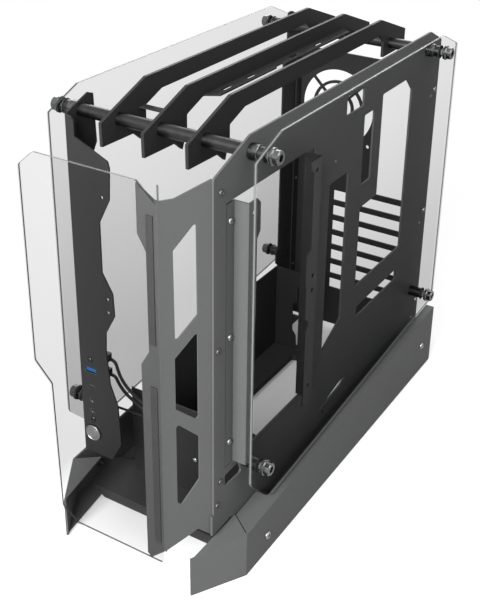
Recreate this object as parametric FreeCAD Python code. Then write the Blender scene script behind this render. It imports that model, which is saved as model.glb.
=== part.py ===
"""Open-frame mid-tower computer case: folded sheet, cross rods and stand-off glass.

X runs to the right seen from the front, Y to the rear, Z up. Sizes are millimetres.
"""
import FreeCAD, Part
import math
import os

Vector = FreeCAD.Vector
ALONG_X = Vector(1, 0, 0)
ALONG_Y = Vector(0, 1, 0)
ALONG_Z = Vector(0, 0, 1)

# Frame: the three overall sizes
wall_x = 87.3            # outer face of each side wall from the middle plane
frame_front = -245.5     # front face of the right pillar
frame_rear = 247.4       # rear face of the rear panel
wall_top = 417.4         # top edge of the right side plate

# Sheet thicknesses
wall_sheet = 2.0
folded_sheet = 1.5
rib_sheet = 3.0
bend_radius = 2.5

# Right side plate
wall_front = frame_front + 44.1
wall_nose_drop = 20.2
opening_front = wall_front + 17.4
opening_rear = -37.0
opening_bottom = 113.0
opening_top = wall_top - 46.4
skirt_front = -160.0
skirt_bottom = 6.0
nose_bottom = 71.0

# Right pillar
pillar_fold_x = 65.0
pillar_edge_x = 47.0
pillar_waist_x = 55.0
pillar_top = wall_top - 14.4
pillar_bottom = 43.0
pillar_flange_reach = 30.0

# Cross rods
rod_radius = 6.0
front_rod_y = -148.4
front_rod_z = wall_top - 14.1
rear_rod_y = frame_rear - 38.4
rear_rod_z = wall_top - 17.4
slide_fit = 0.1          # a rod in a sheet hole
collar_radius = 8.0
collar_length = 9.0

# Ribs
rib_rise = 13.0          # rib tops above the side plate
rib_top = wall_top + rib_rise
rib_pitch = 43.7
rib_front = -172.0
rib_beam = 16.4          # depth of the top beam
rib_foot = wall_top - 32.4

# Glass
glass_sheet = 4.0
glass_gap = 15.2         # wall face to glass
glass_front = -169.0
glass_bottom_front = 55.0
glass_bottom_rear = 84.0
washer_sheet = 1.0
knob_radius = 7.5
knob_length = 8.0
stud_radius = 3.0
stud_clearance = 0.5
low_knob_front = (-150.0, 101.0)
low_knob_rear = (frame_rear - 26.4, 102.0)
front_glass_half = 66.0
tape_sheet = 1.0

# Left posts
post_front = -169.3
post_return = 41.0
post_bottom = 54.0
rear_post_width = 42.0
rear_post_top = wall_top - 4.4

# Rear panel
rear_panel_top = wall_top - 50.0
rear_return = 13.0
slot_count = 7
slot_pitch = 20.32
slot_height = 13.2
slot_top = wall_top - 223.7
slot_left = -33.0
slot_right = 66.0
io_width = 44.45
io_height = 158.75
io_bottom = wall_top - 216.4
vent_x = -33.5
vent_z = wall_top - 117.4
vent_radius = 46.0
fan_pitch = 82.5
fan_hole = 2.2

# Bottom
floor_top = 13.0
floor_front = post_front
floor_rear = 158.0
lip_bottom = 1.0
hatch = (-27.0, -60.0, 60.0, 144.0)
bay_left = -60.5
bay_front = -127.0
bay_top = 120.0
bay_front_top = 111.5
bay_notch = 92.0         # left wall's top beside the leads
bay_notch_rear = -92.0
bay_screw_places = ((-38.0, 54.0), (16.0, 54.0))

# Feet
foot_sheet = 2.0
foot_gap = 21.5          # wall face to the inside of the right foot
left_foot_gap = 2.0
foot_fold_y = -183.0
foot_tip_y = -230.3
foot_tip_inset = 28.7
foot_rear_y = frame_rear - 3.8
foot_top_tip = 42.6
foot_top_fold = 48.2
foot_top_rear = 75.0
foot_flange = 23.0
foot_strip = 10.0
foot_step_y = -131.0
foot_bottom_flange = 20.0
pad_sheet = 1.0
foot_screws = ((-146.0, 20.0), (213.0, 36.0))

# Side fan rails: two frames of 120 mm, one above the other, between them
rail_offset = 13.2       # wall face to rail face
rail_flange = 12.5
rail_face_width = 13.0
side_fan_size = 120.0
side_fan_pitch = 105.0
side_fan_hole = 2.2
rail_edge = 0.9          # metal left beside a fan hole
side_fan_y = wall_front + 90.9
side_fan_z = 246.0
rail_front_step = side_fan_y - side_fan_pitch / 2 - 8.0
rail_rear_step = side_fan_y + side_fan_pitch / 2 + 8.0

# Motherboard standoffs
board_plane = 64.3
board_column = 227.33
board_row = 281.94
board_rear_y = 231.0
board_top_z = wall_top - 75.4
standoff_radius = 2.9
thread_radius = 1.25

# Front ports and power button
io_x = -74.0
usb_a_z = 150.0
usb_c_z = 132.0
jack_z = (116.0, 104.0)
button_z = 78.5
button_radius = 8.6
button_clearance = 0.4
button_proud = 2.2
button_travel = 1.5
board_back = 9.3         # post face to the circuit board
board_screw_z = (94.5, 162.0)
circuit_sheet = 1.6
socket_reach = 12.0      # io_x to the open side of a lead socket
socket_depth = 6.8
lead_sockets = ((160.5, 4.0), (143.5, 4.0), (107.0, 3.5))     # z and half height
lead_radii = (1.6, 1.6, 1.2)
hub = (-36.0, -12.0, 84.0, 104.0, 10.0)                       # x, x, z, z and depth
hub_entries = (100.0, 94.0, 88.0)
lead_routes = (
    ((-55.5, -154.6, 159.5), (-55.3, -151.5, 146.0), (-54.0, -147.0, 132.0), (-50.0, -141.0, 118.5), (-44.0, -135.0, 106.0)),
    ((-57.0, -154.0, 142.0), (-57.0, -149.5, 130.5), (-54.5, -144.0, 117.5), (-49.5, -139.0, 107.5), (-43.0, -134.0, 98.5)),
    ((-56.0, -154.0, 106.0), (-50.5, -147.0, 100.0), (-44.0, -138.0, 92.0)),
)

# Fasteners
screw_head_radius = 3.0
screw_head_height = 1.6
screw_radius = 1.5
screw_shank = 5.0
foot_head_radius = 4.0
foot_head_height = 2.0


def outline(points, place):
    """Face inside corners (u, v) or (u, v, radius), where a radius rounds its corner."""
    corners = [Vector(point[0], point[1], 0) for point in points]
    stretches = []
    for index, corner in enumerate(corners):
        radius = points[index][2] if len(points[index]) > 2 else 0
        back = (corners[index - 1] - corner).normalize()
        ahead = (corners[(index + 1) % len(corners)] - corner).normalize()
        if radius == 0:
            stretches.append((corner, None, corner))
            continue
        half = back.getAngle(ahead) / 2
        reach = radius / math.tan(half)
        middle = corner + (back + ahead).normalize() * (radius / math.sin(half) - radius)
        stretches.append((corner + back * reach, middle, corner + ahead * reach))
    edges = []
    for index, (first, middle, last) in enumerate(stretches):
        following = stretches[(index + 1) % len(stretches)][0]
        if middle:
            edges.append(Part.Arc(place(first), place(middle), place(last)).toShape())
        if (following - last).Length > 1e-6:
            edges.append(Part.LineSegment(place(last), place(following)).toShape())
    return Part.Face(Part.Wire(edges))


def side_slab(points, x, thick):
    """Plate with a (y, z) outline, from x towards +X."""
    face = outline(points, lambda point: Vector(x, point.x, point.y))
    return face.extrude(ALONG_X * thick)


def front_slab(points, y, thick):
    """Plate with an (x, z) outline, from y towards +Y."""
    face = outline(points, lambda point: Vector(point.x, y, point.y))
    return face.extrude(ALONG_Y * thick)


def level_slab(points, z, thick):
    """Plate with an (x, y) outline, from z towards +Z."""
    face = outline(points, lambda point: Vector(point.x, point.y, z))
    return face.extrude(ALONG_Z * thick)


def rectangle(left, low, right, high, radius=0):
    """Four corners of a rectangle, rounded where a radius is given."""
    corners = ((left, low), (right, low), (right, high), (left, high))
    return [corner + (radius,) for corner in corners]


def block(x_range, y_range, z_range):
    """Box between pairs of coordinates."""
    size = [max(pair) - min(pair) for pair in (x_range, y_range, z_range)]
    corner = Vector(min(x_range), min(y_range), min(z_range))
    return Part.makeBox(size[0], size[1], size[2], corner)


def cylinder(start, axis, radius, length):
    """Round bar from start along an axis."""
    return Part.makeCylinder(radius, length, start, axis)


def cross_bore(y, z, radius):
    """Bore across the whole case, along X."""
    return cylinder(Vector(-2 * wall_x, y, z), ALONG_X, radius, 4 * wall_x)


def wall_bores(x, places, radius):
    """Bores along X through one wall at x, at (y, z) places."""
    return [cylinder(Vector(x - 5, y, z), ALONG_X, radius, 10) for y, z in places]


def panel_bores(y, places, radius):
    """Bores along Y through one panel at y, at (x, z) places."""
    return [cylinder(Vector(x, y - 5, z), ALONG_Y, radius, 10) for x, z in places]


def folded_path(path, thick, low, high):
    """Upright folded sheet: its outer faces follow an (x, y) path, its inside is on the left."""
    runs = [(Vector(*end, 0) - Vector(*start, 0)).normalize()
            for start, end in zip(path, path[1:])]
    inner = []
    for index, point in enumerate(path):
        before = runs[max(index - 1, 0)]
        after = runs[min(index, len(runs) - 1)]
        normal_before = Vector(-before.y, before.x, 0)
        normal_after = Vector(-after.y, after.x, 0)
        mitre = normal_before + normal_after
        offset = mitre * (2 * thick / mitre.Length ** 2)
        inner.append((point[0] + offset.x, point[1] + offset.y))
    radii = [0] + [bend_radius] * (len(path) - 2) + [0]
    outer_side = [point + (radius,) for point, radius in zip(path, radii)]
    inner_side = [point + (max(radius - thick, 0),) for point, radius in zip(inner, radii)]
    return level_slab(outer_side + inner_side[::-1], low, high - low)


def pan_screw(seat, outward):
    """Pan-head screw: head on the seat, pointing outward, and a short shank behind it."""
    head = Part.makeCone(screw_head_radius, screw_head_radius * 0.7, screw_head_height, seat, outward)
    shank = cylinder(seat - outward * screw_shank, outward, screw_radius, screw_shank)
    return head.fuse(shank)


def group(solids):
    """Separate solids that share a node."""
    return Part.makeCompound(solids)


strip_places = (
    (wall_front + 10.4, wall_top - 34.4),
    (wall_front + 6.4, 241.0),
    (wall_front + 10.4, 104.0),
    (wall_front + 5.4, nose_bottom + 10),
)
rail_places = tuple((rail_front_step - 5.5, z) for z in (opening_top - 18, 245.0, opening_bottom + 25))
fan_rows = [side_fan_z + row * side_fan_size / 2 + half * side_fan_pitch / 2
            for row in (-1, 1) for half in (-1, 1)]
rod_places = ((front_rod_y, front_rod_z), (rear_rod_y, rear_rod_z))
low_places = (low_knob_front, low_knob_rear)
knob_places = rod_places + low_places
rear_fold_places = tuple((frame_rear - rear_return / 2 - 1, z) for z in (80.0, 200.0, rear_panel_top - 20))
board_places = tuple(
    (board_rear_y - column, board_top_z - row)
    for column, row in ((0, 0), (board_column, 0), (0, board_row), (board_column, board_row),
                        (0, 154.94), (157.48, board_row))
)
pan_places = ((-140.0, floor_top + 12), (20.0, floor_top + 12), (140.0, floor_top + 12))


def right_side_plate():
    """Motherboard tray and right wall: one sheet with its windows and fixing holes."""
    sheet = side_slab([
        (wall_front, wall_top - wall_nose_drop, 3),
        (wall_front + 53.1, wall_top, 6),
        (frame_rear - 30.9, wall_top, 6),
        (frame_rear, wall_top - 14.4, 4),
        (frame_rear, skirt_bottom, 2),
        (skirt_front, skirt_bottom, 4),
        (skirt_front, 46.0, 2),
        (wall_front + 30.4, 50.0, 4),
        (wall_front, nose_bottom, 3),
    ], wall_x - wall_sheet, wall_sheet)
    front_opening = [
        (opening_front, opening_top, 2),
        (opening_rear, opening_top, 3),
        (opening_rear, 186.0),
        (opening_rear - 8, 166.0),
        (opening_rear - 7, 152.0),
        (opening_rear - 12, 130.0),
        (opening_rear - 12, opening_bottom, 2),
        (opening_front, opening_bottom, 2),
    ]
    cable_slot = rectangle(62.0, wall_top - 121.4, 84.0, wall_top - 47.4, 2)
    top_slot = rectangle(22.0, wall_top - 36.4, 58.0, wall_top - 17.4, 2)
    backplate_window = [
        (102.0, wall_top - 37.4, 2), (160.0, wall_top - 37.4, 2),
        (175.0, wall_top - 52.4, 2), (175.0, wall_top - 237.4, 2),
        (64.0, wall_top - 237.4, 2), (64.0, wall_top - 181.4, 2), (102.0, wall_top - 181.4, 2),
    ]
    cable_window = [
        (-6.0, wall_top - 95.4, 3), (33.0, wall_top - 95.4, 3),
        (33.0, wall_top - 259.4, 2), (-6.0, wall_top - 279.4, 2),
    ]
    low_slot = rectangle(70.0, wall_top - 277.4, 170.0, wall_top - 264.4, 2)
    lens_slot = [(-16.0, 65.0), (36.0, 76.0), (56.0, 77.0), (44.0, 70.0)]
    thumb_opening = [(-184.0, 106.0, 2), (-159.0, 106.0, 2), (-163.0, 95.0, 4), (-184.0, 92.0, 4)]
    left = wall_x - wall_sheet - 1
    windows = [
        side_slab(points, left, wall_sheet + 2)
        for points in (front_opening, cable_slot, top_slot, backplate_window,
                       cable_window, low_slot, lens_slot, thumb_opening)
    ]
    bores = [cross_bore(y, z, rod_radius + slide_fit) for y, z in rod_places]
    bores += wall_bores(wall_x, low_places, stud_radius)
    bores += wall_bores(wall_x, strip_places + rear_fold_places, screw_radius)
    bores += wall_bores(wall_x, pan_places + foot_screws, screw_radius)
    bores += wall_bores(wall_x, board_places, thread_radius + 0.4)
    return sheet.cut(windows + bores)


def front_right_pillar():
    """Folded front pillar: narrow front flange, wide cheek with three windows, side flange."""
    fold = Vector(pillar_fold_x, frame_front, 0)
    corner = Vector(wall_x - wall_sheet, wall_front, 0)
    along = corner - fold
    cheek_width = along.Length
    along.normalize()
    outward = Vector(along.y, -along.x, 0)
    path = [
        (pillar_edge_x, frame_front),
        (fold.x, fold.y),
        (corner.x, corner.y),
        (corner.x, wall_front + pillar_flange_reach),
    ]
    sheet = folded_path(path, folded_sheet, pillar_bottom, pillar_top)

    def cheek_slab(points, depth):
        """Prism through the cheek, with an (along, z) outline."""
        def place(point):
            return fold + along * point.x + ALONG_Z * point.y - outward * depth
        return outline(points, place).extrude(outward * (2 * depth))

    top = pillar_top
    windows = [
        cheek_slab([(35, 366, 2), (14, 346, 2), (14.5, 264, 2), (35.5, 283, 2)], 8),
        cheek_slab([(35.5, 268, 2), (14, 249, 2), (14, 200, 2), (35.5, 181, 2)], 8),
        cheek_slab([(14, 186, 2), (36, 164, 2), (36, 119, 2), (18, 99, 2), (14, 104, 2)], 8),
    ]
    end = cheek_width + 2
    trims = [
        cheek_slab([(3, top - 13), (16, top - 14), (end, top - 5), (end, top + 9), (3, top + 9)], 12),
        cheek_slab([(-3, 35), (3, 56), (25, 62), (34, 65), (end, 71), (end, 35)], 12),
        front_slab([(pillar_edge_x - 1, top - 1), (fold.x + 1, top - 13),
                    (fold.x + 3, top - 13), (fold.x + 3, top + 5), (pillar_edge_x - 1, top + 5)],
                   frame_front - 1, folded_sheet + 2),
        front_slab([(pillar_edge_x - 1, 48.0), (51.0, 43.0), (fold.x, 56.0), (fold.x + 3, 57.0),
                    (fold.x + 3, 35.0), (pillar_edge_x - 1, 35.0)], frame_front - 1, folded_sheet + 2),
        front_slab([(pillar_edge_x - 1, 360.0), (pillar_edge_x, 360.0), (pillar_waist_x, 346.0),
                    (pillar_waist_x, 257.0), (pillar_edge_x, 243.0), (pillar_edge_x - 1, 243.0)],
                   frame_front - 1, folded_sheet + 2),
    ]
    reach = (wall_front + 0.5, wall_front + pillar_flange_reach + 1)
    flange_low = block((wall_x - 6, wall_x), reach, (35, nose_bottom + 2))
    flange_high = block((wall_x - 6, wall_x), reach, (wall_top - wall_nose_drop - 3, top + 5))
    bores = wall_bores(wall_x, strip_places + rail_places, screw_radius)
    return sheet.cut(windows + trims + [flange_low, flange_high] + bores)


def left_front_post():
    """Front-left post: wavy front flange that carries the ports, folded back along the glass."""
    right = -40.0
    path = [
        (-wall_x, post_front + post_return),
        (-wall_x, post_front),
        (right, post_front),
    ]
    sheet = folded_path(path, folded_sheet, post_bottom, wall_top)
    wave = front_slab([
        (-wall_x - 1, wall_top - 12, 0), (-80.0, wall_top - 13.4), (-77.0, wall_top - 17),
        (-77.0, wall_top - 31), (-58.0, wall_top - 39), (-42.0, wall_top - 46), (right - 0.2, wall_top - 52),
        (-42.0, 335.0), (-54.0, 311.0), (-54.0, 261.0), (-43.0, 242.0), (-42.0, 219.0),
        (-53.0, 198.0), (-54.0, 178.0), (-51.0, 142.0), (-43.0, 120.0), (-41.0, 76.0),
        (-51.0, post_bottom + 4), (-52.0, post_bottom - 1),
        (right + 5, post_bottom - 1), (right + 5, wall_top + 1), (-wall_x - 1, wall_top + 1),
    ], post_front - 1, bend_radius + 1)
    gusset = side_slab([
        (post_front - 1, wall_top - 12), (post_front + 2, wall_top - 12), (-138.0, wall_top - 1.4),
        (-131.0, wall_top - 4), (-129.0, wall_top - 50), (-134.0, wall_top - 58),
        (-134.0, post_bottom + 12), (-140.0, post_bottom - 1), (post_front + post_return + 1, post_bottom - 1),
        (post_front + post_return + 1, wall_top + 1), (post_front - 1, wall_top + 1),
    ], -wall_x - 1, folded_sheet + 2)
    ports = [
        front_slab(rectangle(io_x - 6.9, usb_a_z - 3.2, io_x + 6.9, usb_a_z + 3.2, 0.5), post_front - 1, 4),
        front_slab(rectangle(io_x - 4.7, usb_c_z - 1.8, io_x + 4.7, usb_c_z + 1.8, 1.7), post_front - 1, 4),
    ]
    bores = panel_bores(post_front, [(io_x, z) for z in jack_z], 3.2)
    bores += panel_bores(post_front, [(io_x, button_z)], button_radius + button_clearance)
    bores += panel_bores(post_front, ((-50.0, 336.0), (-49.0, 235.0), (-49.0, 221.0)), 1.6)
    bores += panel_bores(post_front, [(io_x, z) for z in board_screw_z], screw_radius)
    bores += [cross_bore(front_rod_y, front_rod_z, rod_radius + slide_fit)]
    bores += wall_bores(-wall_x, (low_knob_front,), stud_radius)
    return sheet.cut([wave, gusset] + ports + bores)


def left_rear_post():
    """Rear-left post: a flat strip from the foot to the rear rod, joined to the rear panel."""
    front = frame_rear - rear_post_width
    sheet = side_slab([
        (front + 8, rear_post_top, 4), (frame_rear - 26, rear_post_top, 4),
        (frame_rear, rear_post_top - 11, 3), (frame_rear, skirt_bottom, 3),
        (front, skirt_bottom, 3), (front, 92.0), (front - 5, 96.0, 3), (front - 5, 112.0, 3),
        (front, 118.0), (front, rear_post_top - 60), (front + 8, rear_post_top - 48),
    ], -wall_x, wall_sheet)
    bores = [cross_bore(rear_rod_y, rear_rod_z, rod_radius + slide_fit)]
    bores += wall_bores(-wall_x, (low_knob_rear,), stud_radius)
    bores += wall_bores(-wall_x, rear_fold_places + foot_screws[1:], screw_radius)
    return sheet.cut(bores)


def vent_cuts():
    """Spoked round grille: rings of curved slots round a hub, cut through the rear panel."""
    cuts = []
    spoke = 3.0
    rings = ((10.0, 17.0), (20.5, 29.5), (33.0, vent_radius))
    for inner, outer in rings:
        start = Vector(vent_x, frame_rear - wall_sheet - 1, vent_z)
        ring = cylinder(start, ALONG_Y, outer, wall_sheet + 2)
        ring = ring.cut(cylinder(start, ALONG_Y, inner, wall_sheet + 2))
        for turn in range(4):
            bar = block((vent_x - spoke / 2, vent_x + spoke / 2),
                        (frame_rear - 5, frame_rear + 5), (vent_z, vent_z + vent_radius + 2))
            bar.rotate(Vector(vent_x, 0, vent_z), ALONG_Y, 45 + 90 * turn)
            ring = ring.cut(bar)
        cuts += ring.Solids
    return cuts


def rear_panel():
    """Rear sheet: card slots, port window, round fan grille, sides folded forward."""
    side = wall_x - wall_sheet
    path = [
        (side, frame_rear - rear_return),
        (side, frame_rear),
        (-side, frame_rear),
        (-side, frame_rear - rear_return),
    ]
    sheet = folded_path(path, wall_sheet, skirt_bottom, rear_panel_top)
    cut_y = frame_rear - wall_sheet - 1
    cuts = [
        front_slab(rectangle(slot_left, slot_top - index * slot_pitch - slot_height,
                             slot_right, slot_top - index * slot_pitch), cut_y, wall_sheet + 2)
        for index in range(slot_count)
    ]
    io_right = slot_right + 0.5
    cuts += [front_slab(rectangle(io_right - io_width, io_bottom, io_right, io_bottom + io_height, 1),
                        cut_y, wall_sheet + 2)]
    cuts += vent_cuts()
    cuts += panel_bores(frame_rear, fan_places(), fan_hole)
    slot_mid = [slot_top - index * slot_pitch - slot_height / 2 for index in range(slot_count)]
    cuts += panel_bores(frame_rear, [(slot_left - 8, z) for z in slot_mid], thread_radius)
    cuts += wall_bores(side - 1, rear_fold_places, screw_radius)
    cuts += wall_bores(-side + 1, rear_fold_places, screw_radius)
    return sheet.cut(cuts)


def fan_places():
    """(x, z) of the four rear fan holes."""
    half = fan_pitch / 2
    return [(vent_x + u, vent_z + v) for u in (-half, half) for v in (-half, half)]


def rib(x):
    """Upright rib with its right face at x, hung on both rods."""
    inner = rib_top - rib_beam
    rear_leg = frame_rear - 55.4
    sheet = side_slab([
        (rib_front, rib_foot), (rib_front - 0.5, rib_top - 24, 1), (rib_front + 62.8, rib_top, 2),
        (frame_rear - 63.3, rib_top, 2), (frame_rear, rib_top - 22.6, 1), (frame_rear, rib_foot + 3),
        (rear_leg, rib_foot + 3), (rear_leg, inner - 9, 2), (rear_leg - 10, inner, 2),
        (rib_front + 85, inner, 2), (rib_front + 61, inner - 9, 2), (rib_front + 61, rib_foot + 8),
        (rib_front + 54, rib_foot - 10), (rib_front + 43, rib_foot - 1),
    ], x - rib_sheet, rib_sheet)
    return sheet.cut([cross_bore(y, z, rod_radius + slide_fit) for y, z in rod_places])


def rib_centre():
    """Centre rib, with the notched top fan rail folded out under its beam."""
    level = rib_top - rib_beam
    front = rib_front + 87
    rear = frame_rear - 67
    rail = level_slab([
        (-0.5, front), (12.0, front + 8), (12.0, 20.0), (9.0, 22.0), (9.0, 34.0), (12.0, 36.0),
        (12.0, rear - 8), (-0.5, rear),
    ], level, folded_sheet)
    slots = [
        level_slab(rectangle(4.5, y, 8.0, y + 16, 1.7), level - 1, folded_sheet + 2)
        for y in (front + 20, front + 60, front + 140, front + 190)
    ]
    return rib(0.0).fuse(rail.cut(slots)).removeSplitter()


def cross_rod(y, z):
    """Full-width rod with a tapped hole in each end for a glass knob."""
    half = wall_x + glass_gap - washer_sheet
    rod = cylinder(Vector(-half, y, z), ALONG_X, rod_radius, 2 * half)
    depth = stud_length() - glass_sheet - 2 * washer_sheet + 1
    tapped = [
        cylinder(Vector(-half - 1, y, z), ALONG_X, stud_radius, depth + 1),
        cylinder(Vector(half - depth, y, z), ALONG_X, stud_radius, depth + 1),
    ]
    return rod.cut(tapped)


def stud_length():
    """Knob stud: through both washers and the glass, then into the rod."""
    return glass_sheet + 2 * washer_sheet + 10


def rod_collars():
    """Clamp collars that lock each rod against the outside of both walls."""
    rings = []
    for y, z in rod_places:
        for x in (wall_x, -wall_x - collar_length):
            ring = cylinder(Vector(x, y, z), ALONG_X, collar_radius, collar_length)
            ring = ring.makeChamfer(0.8, [ring.Edges[0], ring.Edges[2]])
            rings.append(ring.cut(cross_bore(y, z, rod_radius)))
    return group(rings)


def glass_standoffs():
    """Short standoffs riveted into the walls for the lower glass knobs."""
    length = glass_gap - washer_sheet
    posts = []
    for y, z in low_places:
        for side in (1, -1):
            axis = ALONG_X * side
            seat = Vector(side * wall_x, y, z)
            post = cylinder(seat, axis, rod_radius, length)
            post = post.fuse(cylinder(seat - axis * (wall_sheet + 1), axis, stud_radius, wall_sheet + 2))
            tapped = cylinder(seat + axis * 3, axis, stud_radius, length)
            posts.append(post.cut(tapped))
    return group(posts)


def side_glass(side):
    """Side panel: clipped corners, a rising bottom edge and four stud holes."""
    inner = wall_x + glass_gap
    x = inner if side > 0 else -inner - glass_sheet
    pane = side_slab([
        (glass_front, wall_top - 14.4, 2), (glass_front + 39, wall_top + 1.1, 4),
        (frame_rear - 40.4, wall_top + 1.1, 4), (frame_rear, wall_top - 15.9, 4),
        (frame_rear, glass_bottom_rear, 3), (frame_rear - 14.4, glass_bottom_rear, 3),
        (glass_front + 38, glass_bottom_front, 4), (glass_front + 19, 71.0, 3),
        (glass_front + 2, 89.0, 3), (glass_front, 93.0, 2),
    ], x, glass_sheet)
    return pane.cut([cross_bore(y, z, stud_radius + stud_clearance) for y, z in knob_places])


def front_glass():
    """Front pane bonded to the pillar flange; its free left edge steps in near the ports."""
    half = front_glass_half
    y = frame_front - tape_sheet - glass_sheet
    return front_slab([
        (half, wall_top - 26.4, 2), (half - 16, wall_top - 11.9, 4), (-half + 16, wall_top - 11.9, 4),
        (-half + 0.5, wall_top - 25.4, 4), (-half + 0.5, 209.0, 4), (-48.0, 191.0, 4),
        (-46.0, 59.0, 4), (-30.0, 47.0, 4), (half, 47.0, 2),
    ], y, glass_sheet)


def front_glass_tape():
    """Two bonding strips between the pillar flange and the front pane."""
    y = frame_front - tape_sheet
    width = (pillar_waist_x + 1, pillar_fold_x - bend_radius)
    return group([
        block(width, (y, frame_front), (65.0, 225.0)),
        block(width, (y, frame_front), (265.0, pillar_top - 25)),
    ])


def glass_knobs():
    """Cap nuts with studs that clamp the side panes, eight in all."""
    knobs = []
    for y, z in knob_places:
        for side in (1, -1):
            axis = ALONG_X * side
            seat = Vector(side * (wall_x + glass_gap + glass_sheet + washer_sheet), y, z)
            cap = cylinder(seat, axis, knob_radius, knob_length)
            outer = [edge for edge in cap.Edges
                     if len(edge.Vertexes) == 1 and abs(edge.CenterOfMass.x) > abs(seat.x) + 1]
            cap = cap.makeChamfer(1.2, outer)
            recess = Part.Face(Part.makePolygon([
                seat + axis * knob_length
                + Vector(0, 2.9 * math.cos(math.radians(60 * turn)), 2.9 * math.sin(math.radians(60 * turn)))
                for turn in range(7)
            ])).extrude(axis * -4)
            stud = cylinder(seat - axis * stud_length(), axis, stud_radius, stud_length() + 1)
            knobs.append(cap.fuse(stud).cut(recess))
    return group(knobs)


def glass_washers():
    """Rubber washers on both faces of the side panes at each knob."""
    rings = []
    inner = wall_x + glass_gap - washer_sheet
    outer = wall_x + glass_gap + glass_sheet
    for y, z in knob_places:
        for start in (inner, outer, -inner - washer_sheet, -outer - washer_sheet):
            ring = cylinder(Vector(start, y, z), ALONG_X, knob_radius - 0.5, washer_sheet)
            rings.append(ring.cut(cross_bore(y, z, stud_radius)))
    return group(rings)


def side_fan_rail_front():
    """Z-shaped rail: base in the opening on the pillar's flange, web, and the fans' front face."""
    inside = wall_x - wall_sheet
    face = wall_x + rail_offset
    low = opening_bottom + 1
    high = opening_top - 2
    step = rail_front_step
    free = step + rail_face_width
    narrow = side_fan_y - side_fan_pitch / 2 + side_fan_hole + rail_edge
    web = (step, step + folded_sheet)
    rail = block((inside, inside + folded_sheet), (step - rail_flange + 0.5, step), (low, high))
    rail = rail.fuse(block((inside, face), web, (low, high)))
    flange = side_slab([
        (step, low), (narrow, low), (narrow, 250.0), (free, 262.0), (free, high - 36),
        (free + 5, high - 30), (free + 5, high - 5), (free, high), (step, high),
    ], face - folded_sheet, folded_sheet)
    rail = rail.fuse(flange).removeSplitter()
    holes = [(side_fan_y - side_fan_pitch / 2, z) for z in fan_rows]
    return rail.cut(wall_bores(face, holes, side_fan_hole) + wall_bores(inside, rail_places, screw_radius))


def side_fan_rail_rear():
    """Opposite rail, welded behind the wall, with a stepped free edge."""
    inside = wall_x - wall_sheet
    face = wall_x + rail_offset
    low = opening_bottom + 1
    high = opening_top - 2
    step = rail_rear_step
    free = step - rail_face_width
    rail = block((inside - folded_sheet, inside), (step - folded_sheet, opening_rear + rail_flange), (low, high))
    rail = rail.fuse(block((inside - folded_sheet, face), (step - folded_sheet, step), (low, high)))
    flange = side_slab([
        (step, low), (free - 4, low), (free - 4, 198.0), (free, 202.0), (free, 207.0),
        (free - 6, 213.0), (free - 6, 245.0), (free - 8, 250.0), (free - 8, 279.0),
        (free, 283.0), (free, high - 12), (free - 6, high - 7), (free - 6, high), (step, high),
    ], face - folded_sheet, folded_sheet)
    rail = rail.fuse(flange).removeSplitter()
    holes = [(side_fan_y + side_fan_pitch / 2, z) for z in fan_rows]
    return rail.cut(wall_bores(face, holes, side_fan_hole))


def bottom_pan():
    """Front lip, floor with its hatch, and the upstand that takes the right wall."""
    inside = wall_x - wall_sheet
    left = -wall_x + folded_sheet
    floor = level_slab([
        (left + 6, floor_front), (inside, floor_front), (inside, floor_rear), (bay_left, floor_rear),
        (bay_left, bay_front + 12, 4), (left, bay_front + 4, 4), (left, floor_front + 8),
    ], floor_top - folded_sheet, folded_sheet)
    lip = front_slab([
        (left + 6, floor_top), (inside, floor_top), (inside, lip_bottom + 1), (left + 20, lip_bottom + 1),
    ], floor_front, folded_sheet)
    upstand = block((inside - folded_sheet, inside), (skirt_front + 2, floor_rear),
                    (floor_top - folded_sheet, floor_top + 30))
    hatch_cut = level_slab(rectangle(*hatch, 4), floor_top - 5, 10)
    hem = level_slab(rectangle(*hatch, 4), floor_top - 7, 7 - folded_sheet)
    ring = level_slab(rectangle(hatch[0] - folded_sheet, hatch[1] - folded_sheet,
                                hatch[2] + folded_sheet, hatch[3] + folded_sheet, 5.5),
                      floor_top - 7, 7 - folded_sheet)
    pan = floor.fuse([lip, upstand, ring.cut(hem)]).removeSplitter()
    return pan.cut([hatch_cut] + wall_bores(inside, pan_places + foot_screws[:1], screw_radius))


def psu_bay():
    """Open-topped power supply bay: front, left and rear walls folded from one sheet."""
    inside = wall_x - wall_sheet - folded_sheet
    path = [
        (-27.0, floor_rear),
        (bay_left, floor_rear),
        (bay_left, bay_front),
        (inside - 0.5, bay_front),
    ]
    sheet = folded_path(path, folded_sheet, floor_top, bay_top)
    front_cut = block((bay_left - 1, inside + 1), (bay_front - 1, bay_front + bend_radius + 1),
                      (bay_front_top, bay_top + 1))
    side_cut = side_slab([
        (bay_front + bend_radius, bay_top + 1), (bay_front + bend_radius, bay_notch, 2),
        (bay_notch_rear, bay_notch, 3), (bay_notch_rear + 12, bay_top + 1),
    ], bay_left - 1, folded_sheet + 2)
    rear_cut = front_slab([
        (-26.0, 100.0), (-30.0, 100.0), (-30.0, 79.0), (-36.0, 76.0), (-36.0, 39.0), (-31.0, 32.0),
        (-30.0, 19.0), (-26.0, 19.0),
    ], floor_rear - folded_sheet - 1, folded_sheet + 2)
    bores = panel_bores(bay_front, bay_screw_places, screw_radius)
    return sheet.cut([front_cut, side_cut, rear_cut] + bores)


def top_strip():
    """Short cross strip that ties the left and centre ribs at the front slant."""
    start = -rib_pitch
    end = -rib_sheet
    low = rib_top - rib_beam - 9
    return block((start, end), (-121.0, -113.0), (low, low + folded_sheet))


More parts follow.
